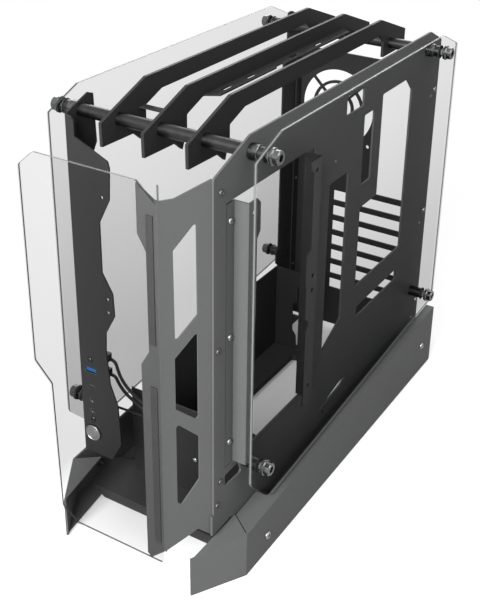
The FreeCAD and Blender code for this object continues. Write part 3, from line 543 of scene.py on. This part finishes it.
def slab(name: str, size: Sequence[float], centre: Sequence[float], edge: float = 0.2) -> Piece:
    """Small block with rounded edges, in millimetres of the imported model's frame."""
    bpy.ops.object.select_all(action="DESELECT")
    bpy.ops.mesh.primitive_cube_add(size=MM)
    piece = named(name)
    bpy.ops.transform.resize(value=tuple(size), center_override=(0, 0, 0))
    bpy.ops.transform.translate(value=tuple(value * MM for value in centre))
    if edge:
        bpy.ops.mesh.select_all(action="SELECT")
        bpy.ops.mesh.bevel(offset=edge * MM, segments=2, affect="EDGES")
    cleaned(piece)
    smoothed(piece, 30)
    return piece


def carved(piece: Piece, tools: Iterable[Piece]) -> Piece:
    """Cut tool pieces out of a piece and throw the tools away."""
    for tool in tools:
        put_modifier(piece, "BOOLEAN", {"operation": "DIFFERENCE", "solver": "EXACT", "object": tool})
        bpy.data.objects.remove(tool)
    smoothed(piece, 30)
    return piece


def grabbed(piece: Piece, chosen: Callable[[Vector], bool]) -> None:
    """Enter edit mode with only those corners selected whose place in millimetres passes a test."""
    only(piece)
    bpy.ops.object.mode_set(mode="EDIT")
    bpy.ops.mesh.select_mode(type="VERT")
    bpy.ops.mesh.select_all(action="DESELECT")
    mesh = bmesh.from_edit_mesh(piece.data)
    for corner in mesh.verts:
        corner.select = chosen(corner.co / MM)
    mesh.select_flush(True)
    bmesh.update_edit_mesh(piece.data)


def nudged(piece: Piece, chosen: Callable[[Vector], bool], shift: Sequence[float]) -> None:
    """Move the corners whose place passes a test, in millimetres of the case's own frame."""
    grabbed(piece, lambda place: chosen(place - CASE_SHIFT))
    bpy.ops.transform.translate(value=tuple(value * MM for value in shift))
    bpy.ops.object.mode_set(mode="OBJECT")


def within(depths: Pair, heights: Pair) -> Callable[[Vector], bool]:
    """Test whether a place lies between two depths and two heights."""
    return lambda at: depths[0] < at.y < depths[1] and heights[0] < at.z < heights[1]


def copies(
    master: Piece, name: str, places: Sequence[tuple[Vector, Way]], turn: float = 0.0
) -> list[Piece]:
    """Numbered copies of a piece that was modelled once along Z and is thrown away afterwards.

    Each has a seat and a direction, and each is turned further about its axis by some degrees.
    """
    made = []
    for number, (seat, way) in enumerate(places):
        mesh = master.data.copy()
        aim = Vector(way.value).to_track_quat("Z", "Y").to_matrix().to_4x4()
        spin = Matrix.Rotation(math.radians(turn * (number + 1)), 4, "Z")
        mesh.transform(Matrix.Translation(seat) @ aim @ spin)
        made.append(added(f"{name}_{number + 1}", mesh))
    bpy.data.objects.remove(master)
    return made


class Workshop:
    """Makes each finish once, and dresses and books the pieces."""

    def __init__(self) -> None:
        """Start with no finish made."""
        self._made: dict[Finish, bpy.types.Material] = {}

    def dress(self, piece: Piece, *choices: Finish) -> None:
        """Give a piece its finishes, the first one all over."""
        piece.data.materials.clear()
        for choice in choices:
            if choice not in self._made:
                self._made[choice] = choice.value.material()
            piece.data.materials.append(self._made[choice])

    def book(
        self,
        piece: Piece,
        nodes: Sequence[str],
        slot: str,
        finish: Finish | None = None,
        body: str = "case",
    ) -> None:
        """Let a piece ride on its body and stand for its CAD nodes, if any. Its slot is not used.

        A piece that comes without a finish is dressed already.
        """
        if finish:
            self.dress(piece, finish)
        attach(piece, body)
        if nodes:
            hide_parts(*nodes)
        LOG.info("%s rides on %s", piece.name, body)

    def refine(
        self, node: str, suffix: str, slot: str, finish: Finish, edge: float, segments: int = 2
    ) -> None:
        """Stand a finished copy of a CAD node, with its edges rounded, in the node's place."""
        self.book(rounded(copied(node, f"{node}_{suffix}"), edge, segments), [node], slot, finish)

    def plant(self, pieces: Iterable[Piece], nodes: Sequence[str], slot: str, finish: Finish) -> None:
        """Book several equal pieces."""
        for piece in pieces:
            self.book(piece, nodes, slot, finish)


# Sub-assemblies


@dataclass
class SheetFrame:
    """All folded and flat sheet parts, with the edges of cut and coated sheet."""

    shop: Workshop
    edge: float = 0.25
    sheet: float = 2.0
    wall_x: float = 87.3
    wall_front: float = -203.9
    nose_length: float = 28.0
    nose_range: Pair = (52.0, 74.0)
    nose_slope: float = 16.0
    nose_drop: float = 18.5
    pillar_end: Pair = (68.5, 74.0)
    flange: float = 10.0
    window_corner: tuple[Pair, Pair] = ((62.0, 104.0), (233.0, 240.0))
    window_shift: Point = (0.0, 0.0, 35.0)
    thumb_corner: tuple[Pair, Pair] = ((-166.0, -157.5), (90.0, 99.0))
    thumb_shift: Point = (0.0, 5.5, -3.0)
    thumb_centre: Pair = (-178.0, 98.5)
    thumb_size: float = 16.0
    charcoal: tuple[str, ...] = (
        "right_side_plate", "front_right_pillar", "side_fan_rail_front", "side_fan_rail_rear",
        "bottom_pan", "right_foot", "left_foot",
    )
    black: tuple[str, ...] = (
        "left_front_post", "left_rear_post", "rear_panel", "rib_left", "rib_centre", "rib_right",
        "psu_bay", "top_strip",
    )

    def reshape_plate(self, piece: Piece) -> None:
        """Bring the nose, the thumb opening and the step of the board window to the photograph."""
        bottom, top = self.nose_range
        low = spot(self.wall_x - self.sheet, self.wall_front, bottom) / MM
        high = spot(self.wall_x, self.wall_front + self.nose_length, top) / MM
        nose = slab("nose", high - low, (high + low) / 2, 0)
        middle = (high + low) / 2 - CASE_SHIFT
        nudged(nose, lambda at: at.y > middle.y and at.z > middle.z, (0, 0, -self.nose_slope))
        put_modifier(piece, "BOOLEAN", {"operation": "UNION", "solver": "EXACT", "object": nose})
        bpy.data.objects.remove(nose)
        nudged(piece, within(*self.window_corner), self.window_shift)
        nudged(piece, within(*self.thumb_corner), self.thumb_shift)

    def reshape_pillar(self, piece: Piece) -> None:
        """Bring the pillar's foot to the plate's nose and open its flange behind the thumb opening."""
        inner = self.wall_x - self.flange
        low, high = self.pillar_end
        nudged(piece, lambda at: at.x > inner and low < at.z < high, (0, 0, -self.nose_drop))
        centre = spot(self.wall_x - self.sheet, *self.thumb_centre) / MM
        carved(piece, [slab("thumb_cut", (8, self.thumb_size, self.thumb_size), centre, 0)])

    def build(self) -> None:
        """Shape and round the edges of every sheet part and coat it."""
        reshape = {"right_side_plate": self.reshape_plate, "front_right_pillar": self.reshape_pillar}
        for names, finish, slot in (
            (self.charcoal, Finish.CHARCOAL, "charcoal_coat"),
            (self.black, Finish.BLACK, "black_coat"),
        ):
            for node in names:
                piece = copied(node, node + "_coated")
                if node in reshape:
                    reshape[node](piece)
                rounded(piece, self.edge)
                # The rear rail's faces that don't face +X get the black coat: painted shade on a charcoal
                # part.
                if node == "side_fan_rail_rear":
                    self.shop.dress(piece, finish, Finish.BLACK)
                    for face in piece.data.polygons:
                        face.material_index = 1 if face.normal.x < 0.5 else 0
                else:
                    # The bottom pan gets its darker copy of the charcoal coat as painted shade.
                    self.shop.dress(piece, Finish.PAINTED_SHADE_PAN if node == "bottom_pan" else finish)
                self.shop.book(piece, [node], slot)


@dataclass
class GlassSet:
    """The two side panes, the front pane and the front pane's tape."""

    shop: Workshop
    seam: float = 1.3
    panes: tuple[tuple[str, int, Finish, Finish], ...] = (
        ("left_glass", 0, Finish.PANE, Finish.PAINTED_SHADE_EDGE),
        ("right_glass", 0, Finish.PANE, Finish.EDGE),
        ("front_glass", 1, Finish.FRONT_PANE, Finish.FRONT_EDGE),
    )

    def build(self) -> None:
        """Seam the edges of each pane and give its faces and its edges their own finish."""
        for node, axis, clear, ground in self.panes:
            piece = rounded(copied(node, node + "_pane"), self.seam, 1)
            self.shop.dress(piece, clear, ground)
            for face in piece.data.polygons:
                bonded = node == "front_glass" and face.normal.x > 0.9
                face.material_index = 0 if bonded or abs(face.normal[axis]) > 0.4 else 1
            self.shop.book(piece, [node], "pane")
        self.shop.refine("front_glass_tape", "strips", "bond_tape", Finish.TAPE, 0.2)


@dataclass
class Clamps:
    """Cross rods, knurled collars, glass standoffs, washers and glass knobs."""

    shop: Workshop
    rod_radius: float = 6.0
    collar_radius: float = 7.1
    collar_length: float = 9.0
    knob_radius: float = 7.5
    knob_length: float = 8.0
    head_radius: float = 6.3
    base_height: float = 2.4
    socket_radius: float = 3.4
    socket_depth: float = 3.6
    stud_radius: float = 3.0
    thread_pitch: float = 1.0
    knurls: int = 36

    def collar(self) -> Piece:
        """Collar with a chamfered rim at each end and a straight knurl between two smooth bands."""
        radius, length = self.collar_radius, self.collar_length
        bore = self.rod_radius + 0.02
        piece = turned("collar", [
            (bore, 0.4), (bore + 0.4, 0), (radius - 0.5, 0), (radius, 0.5), (radius, 1.6),
            (radius, length - 1.6), (radius, length - 0.5), (radius - 0.5, length),
            (bore + 0.4, length), (bore, length - 0.4),
        ], self.knurls * 2, ring=True)
        only(piece)
        bpy.ops.object.mode_set(mode="EDIT")
        bpy.ops.mesh.select_mode(type="FACE")
        bpy.ops.mesh.select_all(action="DESELECT")
        mesh = bmesh.from_edit_mesh(piece.data)
        for face in mesh.faces:
            middle = face.calc_center_median() / MM
            turn = math.atan2(middle.y, middle.x) / (2 * math.pi) * self.knurls * 2
            band = math.hypot(middle.x, middle.y) > radius - 0.3 and 1.6 < middle.z < length - 1.6
            face.select = band and round(turn - 0.5) % 2 == 0
        bmesh.update_edit_mesh(piece.data)
        bpy.ops.mesh.inset(thickness=0.08 * MM, use_individual=True)
        bpy.ops.mesh.extrude_region_shrink_fatten(TRANSFORM_OT_shrink_fatten={"value": -0.4 * MM})
        cleaned(piece)
        smoothed(piece, 28)
        return piece

    def knob(self) -> Piece:
        """Cap nut: thin base ring, narrower head with a hexagon socket, and a threaded stud."""
        stud, rim, head, socket = self.stud_radius, self.knob_radius, self.head_radius, self.socket_radius
        step, top = self.base_height, self.knob_length
        low, high = islands("glass_knobs")[0]
        height = -((high.x - low.x) / MM - top)
        thread = []
        while height < -self.thread_pitch:
            thread += [(stud - 0.45, height), (stud - 0.05, height + self.thread_pitch / 2)]
            height += self.thread_pitch
        piece = turned("knob", thread + [
            (stud - 0.1, -0.6), (stud - 0.1, 0), (rim - 0.4, 0), (rim, 0.4), (rim, step - 0.5),
            (rim - 0.5, step), (head + 0.3, step), (head, step + 0.3), (head, top - 0.9),
            (head - 0.9, top), (socket + 0.5, top),
        ], 48)
        hexagon = turned("hexagon", [
            (socket, top - self.socket_depth), (socket, top - 0.3), (socket + 0.6, top + 0.4),
        ], 6)
        return carved(piece, [hexagon])

    def build(self) -> None:
        """Make each form once and copy it to its CAD places."""
        for node, slot, finish, edge in (
            ("front_cross_rod", "black_steel", Finish.BLACK_STEEL, 0.35),
            ("rear_cross_rod", "black_steel", Finish.BLACK_STEEL, 0.35),
            ("glass_standoffs", "black_steel", Finish.BLACK_STEEL, 0.35),
            ("glass_washers", "black_rubber", Finish.RUBBER, 0.25),
            ("foot_spacers", "black_steel", Finish.BLACK_STEEL, 0.3),
        ):
            self.shop.refine(node, "turned", slot, finish, edge)
        for node, name, length, turn, form in (
            ("rod_collars", "rod_collar", self.collar_length, 3.0, self.collar),
            ("glass_knobs", "glass_knob", self.knob_length, 17.0, self.knob),
        ):
            places = [(seat_of(box, sideways(box), length), sideways(box)) for box in islands(node)]
            self.shop.plant(copies(form(), name, places, turn), [node], "dark_chrome", Finish.DARK_CHROME)


def sideways(box: Box) -> Way:
    """Outward direction of a solid on either side of the case."""
    return Way.RIGHT if box[0].x + box[1].x > 0 else Way.LEFT


@dataclass
class Fasteners:
    """Pan-head screws with a cross recess, and foot screws with a hexagon socket."""

    shop: Workshop
    head_radius: float = 3.0
    head_height: float = 1.6
    thread_radius: float = 1.5
    cross_reach: float = 1.75
    cross_width: float = 0.65
    cross_depth: float = 1.6
    foot_radius: float = 4.0
    foot_height: float = 2.0
    foot_socket: float = 2.0
    groups: tuple[tuple[str, Way | None, Finish], ...] = (
        ("pillar_screws", None, Finish.DULL_STEEL), ("rail_screws", None, Finish.SCREW_STEEL),
        ("rear_panel_screws", None, Finish.SCREW_STEEL), ("pan_screws", None, Finish.DULL_STEEL),
        ("bay_screws", Way.FRONT, Finish.SCREW_STEEL), ("post_screws", Way.FRONT, Finish.BLACK_STEEL),
    )

    def thread(self, length: float, pitch: float = 0.7) -> list[Pair]:
        """Profile of a threaded shank, up to the head's seat."""
        crest = self.thread_radius
        steps = [(crest - 0.6, -length), (crest - 0.3, -length + 0.35)]
        height = -length + pitch
        while height < -pitch:
            steps += [(crest - 0.05, height), (crest - 0.35, height + pitch / 2)]
            height += pitch
        return steps + [(crest - 0.1, -0.2), (crest - 0.1, 0)]

    def pan_screw(self, length: float) -> Piece:
        """Domed head with a cross recess over a threaded shank."""
        radius, height = self.head_radius, self.head_height
        piece = turned("pan_screw", self.thread(length) + [
            (radius - 0.15, 0), (radius, 0.15), (radius, 0.5), (radius * 0.95, 0.85),
            (radius * 0.83, 1.2), (radius * 0.62, 1.45), (radius * 0.3, height),
        ], 32)
        arms = []
        long, narrow, deep = 2 * self.cross_reach, self.cross_width, self.cross_depth
        for size in ((long, narrow, deep), (narrow, long, deep)):
            arm = slab("cross_arm", size, (0, 0, height), 0)
            grabbed(arm, lambda place: place.z < height)
            bpy.ops.transform.resize(value=(0.55, 0.55, 1), center_override=(0, 0, 0))
            bpy.ops.object.mode_set(mode="OBJECT")
            arms.append(arm)
        return carved(piece, arms)

    def foot_screw(self, length: float) -> Piece:
        """Button head with a hexagon socket over a threaded shank."""
        radius, height = self.foot_radius, self.foot_height
        piece = turned("foot_screw", self.thread(length) + [
            (radius - 0.2, 0), (radius, 0.2), (radius, 0.5), (radius * 0.93, 1.1),
            (radius * 0.78, 1.65), (radius * 0.6, height),
        ], 40)
        socket = turned("socket", [
            (self.foot_socket, height - 1.4), (self.foot_socket, height - 0.25),
            (self.foot_socket + 0.5, height + 0.3),
        ], 6)
        return carved(piece, [socket])

    def build(self) -> None:
        """Copy a screw to each CAD screw, with a shank of its length."""
        for node, way, finish in self.groups:
            self.place(node, way, finish, self.head_height, self.pan_screw)
        self.place("foot_screws", None, Finish.SCREW_STEEL, self.foot_height, self.foot_screw)

    def place(
        self, node: str, way: Way | None, finish: Finish, head: float, form: Callable[[float], Piece]
    ) -> None:
        """Copy one form of screw to a node's solids, with its head outwards where no way is given."""
        lengths: dict[float, list[tuple[Vector, Way]]] = {}
        for box in islands(node):
            aim = way or sideways(box)
            span = sum(abs(axis) * (high - low) for axis, low, high in zip(aim.value, *box)) / MM
            lengths.setdefault(round(span - head, 1), []).append((seat_of(box, aim, head), aim))
        for number, (length, places) in enumerate(sorted(lengths.items())):
            for piece in copies(form(length), f"{node}_{number + 1}", places, 37.0):
                # Foot screws on the left side get the darker steel as painted shade.
                painted_shade = node == "foot_screws" and piece.data.vertices[0].co.x < 0
                self.shop.book(piece, [node], "screw_steel", Finish.BLACK_STEEL if painted_shade else finish)


@dataclass
class BoardMounts:
    """Hexagonal brass standoffs for the main board, with tapped ends."""

    shop: Workshop
    node: str = "motherboard_standoffs"
    tail: float = 1.5
    tail_radius: float = 1.6
    thread_radius: float = 1.25
    bore_depth: float = 8.0

    def build(self) -> None:
        """Model one standoff and copy it to each CAD place."""
        boxes = islands(self.node)
        low, high = boxes[0]
        top = (high.x - low.x) / MM - self.tail
        across = (high.y - low.y) / MM / 2
        hexagon = turned("standoff", [
            (self.tail_radius, -self.tail), (self.tail_radius, 0), (across - 0.5, 0), (across, 0.5),
            (across, top - 0.5), (across - 0.5, top),
        ], 6)
        bore = turned("bore", [
            (self.thread_radius, top - self.bore_depth), (self.thread_radius, top - 0.4),
            (self.thread_radius + 0.6, top + 0.2),
        ], 24)
        carved(hexagon, [bore])
        places = [(seat_of(box, Way.LEFT, top), Way.LEFT) for box in boxes]
        self.shop.plant(copies(hexagon, "board_standoff", places), [self.node], "brass", Finish.BRASS)


@dataclass
class FrontPorts:
    """Sockets in the left post, their circuit board with its parts, the leads and the hub."""

    shop: Workshop
    centre_x: float = -74.0
    usb_a_z: float = 150.0
    tongue_drop: float = 1.5
    contact_pitch: float = 2.4
    board_rear: float = -158.4
    lead_exit: Pair = (-63.0, -155.0)
    hub_x: float = -36.0
    chips: tuple[tuple[float, ...], ...] = (
        (-4.0, 120.0, 5.0, 5.0, 0.9), (-5.5, 137.0, 3.0, 3.4, 1.0), (-4.5, 92.0, 3.0, 2.6, 0.9),
        (-7.0, 128.0, 1.2, 2.0, 0.7), (-7.0, 112.0, 1.2, 2.0, 0.7), (-2.0, 128.5, 2.0, 1.2, 0.7),
    )
    # Radius, height at the hub and route points of each lead; it leaves at its first point's height.
    cables: tuple[tuple[float, float, tuple[Point, ...]], ...] = (
        (1.6, 100.0, (
            (-55.5, -154.6, 159.5), (-55.3, -151.5, 146.0), (-54.0, -147.0, 132.0),
            (-50.0, -141.0, 118.5), (-44.0, -135.0, 106.0),
        )),
        (1.6, 94.0, (
            (-57.0, -154.0, 142.0), (-57.0, -149.5, 130.5), (-54.5, -144.0, 117.5),
            (-49.5, -139.0, 107.5), (-43.0, -134.0, 98.5),
        )),
        (1.2, 88.0, ((-56.0, -154.0, 106.0), (-50.5, -147.0, 100.0), (-44.0, -138.0, 92.0))),
    )

    def sockets(self) -> None:
        """Shells with rounded lips, contacts on the tongue and sleeves in the jacks."""
        for node, finish, slot, edge in (
            ("usb_a_port", Finish.PORT_STEEL, "port_steel", 0.1),
            ("usb_a_tongue", Finish.BLUE_PLASTIC, "blue_plastic", 0.15),
            ("usb_c_port", Finish.PORT_STEEL, "port_steel", 0.08),
            ("audio_jacks", Finish.PLASTIC, "black_plastic", 0.25),
        ):
            piece = copied(node, node + "_body")
            if node == "usb_a_tongue":
                nudged(piece, lambda at: at.z < self.usb_a_z + 1, (0, 0, -self.tongue_drop))
            self.shop.book(rounded(piece, edge), [node], slot, finish)
        low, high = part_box("usb_a_tongue")
        for number in range(4):
            x = (low[0] + high[0]) / 2 / MM + (number - 1.5) * self.contact_pitch
            contact = slab(f"usb_a_contact_{number + 1}", (1.1, 5.2, 0.16),
                           (x, low[1] / MM + 3.4, low[2] / MM - self.tongue_drop - 0.02), 0.04)
            self.shop.book(contact, [], "port_steel", Finish.PORT_STEEL)
        places = [(seat_of(box, Way.FRONT, 0.0), Way.FRONT) for box in islands("audio_jacks")]
        sleeve = turned("sleeve", [
            (1.35, -5.0), (1.75, -5.0), (1.75, -0.5), (1.55, -0.35), (1.35, -0.5),
        ], 32, ring=True)
        self.shop.plant(copies(sleeve, "jack_sleeve", places), [], "port_steel", Finish.PORT_STEEL)

    def board(self) -> None:
        """Circuit board with a controller, small parts and the switch."""
        self.shop.refine("io_board", "etched", "circuit", Finish.CIRCUIT, 0.12)
        for number, (x, z, wide, high, thick) in enumerate(self.chips):
            chip = slab(f"board_chip_{number + 1}", (wide, thick, high),
                        spot(self.centre_x + x, self.board_rear + thick / 2, z) / MM, 0.15)
            self.shop.book(chip, [], "black_plastic", Finish.PLASTIC)

    def enter_y(self) -> float:
        """Middle of the hub across its depth, in metres, where the leads go in."""
        low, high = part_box("port_hub")
        return (low[1] + high[1]) / 2

    def leads(self) -> None:
        """Leads from the board's sockets to the hub, along the part's own route points."""
        enter_y = self.enter_y()
        for number, (radius, end, route) in enumerate(self.cables):
            first = spot(*self.lead_exit, route[0][2])
            last = Vector((self.hub_x * MM, enter_y, end * MM))
            places = [first] + [spot(*point) for point in route] + [last]
            data = bpy.data.curves.new(f"port_lead_{number + 1}", "CURVE")
            data.dimensions = "3D"
            data.bevel_depth = radius * MM
            data.bevel_resolution = 5
            data.resolution_u = 8
            data.use_fill_caps = True
            spline = data.splines.new("NURBS")
            spline.points.add(len(places) - 1)
            for point, place in zip(spline.points, places):
                point.co = (*place, 1.0)
            spline.order_u = 3
            spline.use_endpoint_u = True
            lead = added(data.name, data)
            self.shop.book(lead, ["port_leads"], "lead_jacket", Finish.LEAD_JACKET)

    def hub(self) -> None:
        """Closed box with a lid seam and a grommet at each lead."""
        self.shop.refine("port_hub", "box", "black_plastic", Finish.PLASTIC, 0.7, 3)
        for number, (radius, end, _) in enumerate(self.cables):
            grommet = turned("grommet", [
                (radius, -0.6), (radius + 0.9, -0.6), (radius + 0.9, 0.9), (radius + 0.5, 1.3),
                (radius, 1.3),
            ], 28, ring=True)
            place = Vector((self.hub_x * MM, self.enter_y(), end * MM))
            made = copies(grommet, f"hub_grommet_{number + 1}", [(place, Way.LEFT)])
            self.shop.plant(made, [], "black_rubber", Finish.RUBBER)

    def build(self) -> None:
        """Make every port part."""
        self.sockets()
        self.board()
        self.leads()
        self.hub()


@dataclass
class PowerButton:
    """Push button with a turned face and a fine rim, and its sleeve."""

    shop: Workshop
    radius: float = 8.6
    stem_radius: float = 2.5
    rim: float = 0.9
    dish: float = 0.35

    def build(self) -> None:
        """Turn the button on the CAD axis, with its collar and stem, and round its sleeve."""
        box = islands("power_button")[0]
        length = (box[1].y - box[0].y) / MM
        collar = (box[1].x - box[0].x) / MM / 2
        radius, rim, dish = self.radius, self.radius - self.rim, self.dish
        cap = turned("button", [
            (self.stem_radius, -length), (self.stem_radius, -6.3), (collar, -6.3), (collar, -5.1),
            (radius, -5.1), (radius, -0.55), (radius - 0.25, -0.15), (radius - 0.6, 0), (rim, 0),
            (rim - dish, -dish), (5.2, -dish), (5.0, -dish - 0.12), (4.8, -dish), (1.0, -dish + 0.05),
        ], 72)
        seat = seat_of(box, Way.FRONT, 0.0)
        for piece in copies(cap, "power_button_cap", [(seat, Way.FRONT)]):
            self.shop.book(piece, ["power_button"], "silver_button", Finish.SILVER, "power_button")
        self.shop.refine("button_housing", "sleeve", "black_plastic", Finish.PLASTIC, 0.3)


@dataclass
class FootPads:
    """Rubber pads under the feet, with cross grooves."""

    shop: Workshop
    pitch: float = 5.0
    groove: float = 1.2
    depth: float = 0.7

    def build(self) -> None:
        """Round each pad and cut its grooves into the side that the floor meets."""
        piece = rounded(copied("foot_pads", "foot_pads_ribbed"), 0.5)
        cutters = []
        for low, high in islands("foot_pads"):
            size = (high - low) / MM
            rows = int((size.y - 6) / self.pitch)
            for row in range(rows + 1):
                y = (low.y + high.y) / 2 / MM + (row - rows / 2) * self.pitch
                place = ((low.x + high.x) / 2 / MM, y, low.z / MM)
                cutters.append(slab("groove", (size.x - 4, self.groove, 2 * self.depth), place, 0))
        joined = cutters[0]
        only(joined)
        for cutter in cutters[1:]:
            cutter.select_set(True)
        bpy.ops.object.join()
        self.shop.book(carved(piece, [joined]), ["foot_pads"], "black_rubber", Finish.RUBBER)


# Studio


@dataclass
class Studio:
    """Camera of the photograph, pale floor, plain sky and soft lamps."""

    camera_place: Point = (0.4881, -0.80445, 0.7128)
    yaw: float = 29.91
    pitch: float = 24.94
    roll: float = 1.51
    focal_px: float = 1046.3
    picture: tuple[int, int] = (480, 600)
    centre_px: Pair = (273.97, 207.11)
    sky: float = 0.35
    bounce: float = 0.4
    footprint: Pair = (115.0, 250.0)
    horizon_start: float = 0.7
    target: Point = (0.0, 0.0, 0.2)
    lamps: tuple[tuple[str, Point, float, float], ...] = (
        ("front_key", (0.3, -2.1, 1.35), 1.3, 176.0),
        ("back_fill", (-1.1, 1.7, 1.3), 1.5, 28.0),
        ("side_fill", (1.9, 0.1, 1.5), 1.5, 20.0),
    )

    def add_camera(self) -> None:
        """Stand the camera where the photograph was taken from."""
        yaw, pitch, roll = (math.radians(angle) for angle in (self.yaw, self.pitch, self.roll))
        right = Vector((math.cos(yaw), math.sin(yaw), 0.0))
        level = Vector((-math.sin(yaw), math.cos(yaw), 0.0))
        forward = level * math.cos(pitch) - Vector((0.0, 0.0, math.sin(pitch)))
        up = right.cross(forward)
        turned_right = right * math.cos(roll) + up * math.sin(roll)
        turned_up = up * math.cos(roll) - right * math.sin(roll)
        data = bpy.data.cameras.new("photo_camera")
        long_side = max(self.picture)
        data.sensor_width = 36.0
        data.lens = self.focal_px / long_side * data.sensor_width
        data.shift_x = (self.picture[0] / 2 - self.centre_px[0]) / long_side
        data.shift_y = (self.centre_px[1] - self.picture[1] / 2) / long_side
        data.clip_start = 0.01
        data.clip_end = 100.0
        camera = added("photo_camera", data)
        turn = Matrix((turned_right, turned_up, -forward)).transposed().to_4x4()
        camera.matrix_world = Matrix.Translation(Vector(self.camera_place)) @ turn
        bpy.context.scene.camera = camera

    def add_sky(self) -> None:
        """White background for the camera, glass and metal, and a plain grey sky for light."""
        recipe = Recipe("plain_sky", "worlds")
        shown = recipe.add("ShaderNodeLightPath", out="Is Camera Ray")
        for ray in ("Is Transmission Ray", "Is Glossy Ray"):
            shown = shown.larger(recipe.add("ShaderNodeLightPath", out=ray))
        sockets = {0: shown}
        for place, strength in ((1, self.sky), (2, 1.0)):
            light = {"Color": grey(1.0), "Strength": strength}
            sockets[place] = recipe.add("ShaderNodeBackground", sockets=light)
        shader = recipe.add("ShaderNodeMixShader", sockets=sockets)
        bpy.context.scene.world = recipe.surface(shader, "ShaderNodeOutputWorld")

    def add_floor(self) -> None:
        """Pale floor that keeps the case's shadow, strongest under the case itself; away from the case a
        painted glow, seen only by the camera, washes the shadow out.
        """
        bpy.ops.object.select_all(action="DESELECT")
        bpy.ops.mesh.primitive_plane_add(size=12.0, location=(0.0, 0.0, -0.0002))
        floor = bpy.context.active_object
        floor.name = "studio_floor"
        recipe = Recipe("studio_floor")
        x, y, _ = recipe.axes()
        half_width, half_depth = self.footprint
        away = (((x / half_width) ** 2.0).larger((y / half_depth) ** 2.0) - 0.8) * 1.6
        open_floor = away.held()
        cloud = recipe.grain(400.0)
        direct = recipe.add("ShaderNodeLightPath", out="Is Camera Ray")
        shown = recipe.blend(cloud, grey(0.80), grey(0.82))
        matt = recipe.add("ShaderNodeBsdfDiffuse", sockets={
            "Color": recipe.blend(direct, grey(self.bounce), shown),
        })
        painted_glow = recipe.add("ShaderNodeEmission", sockets={"Color": grey(1.0), "Strength": 1.0})
        distance = ((x / 1000.0) ** 2.0 + (y / 1000.0) ** 2.0) ** 0.5
        horizon = (distance - self.horizon_start).held()
        # Painted glow: more emission away from the case and towards the horizon hides the shadow there.
        amount = direct * (0.25 + open_floor * 0.6 + horizon * 0.15)
        shader = recipe.add("ShaderNodeMixShader", sockets={0: amount, 1: matt, 2: painted_glow})
        floor.data.materials.append(recipe.surface(shader))

    def add_lamps(self) -> None:
        """Soft square lamps, each with its name, place and side in metres and power in watts."""
        for name, place, size, power in self.lamps:
            data = bpy.data.lights.new(name, "AREA")
            data.shape = "SQUARE"
            data.size = size
            data.energy = power
            lamp = added(name, data)
            aim = (Vector(self.target) - Vector(place)).to_track_quat("-Z", "Y")
            lamp.matrix_world = Matrix.Translation(Vector(place)) @ aim.to_matrix().to_4x4()

    def build(self) -> None:
        """Set up camera, sky, floor and lamps."""
        self.add_camera()
        self.add_sky()
        self.add_floor()
        self.add_lamps()
        bpy.context.scene.view_settings.view_transform = "Standard"


def main() -> None:
    """Build the case's sub-assemblies in order, then the studio."""
    logging.basicConfig(level=logging.INFO, format="%(message)s")
    shop = Workshop()
    assemblies = (
        SheetFrame(shop), GlassSet(shop), Clamps(shop), Fasteners(shop), BoardMounts(shop),
        FrontPorts(shop), PowerButton(shop), FootPads(shop), Studio(),
    )
    for assembly in assemblies:
        assembly.build()


if __name__ == "__main__":
    main()
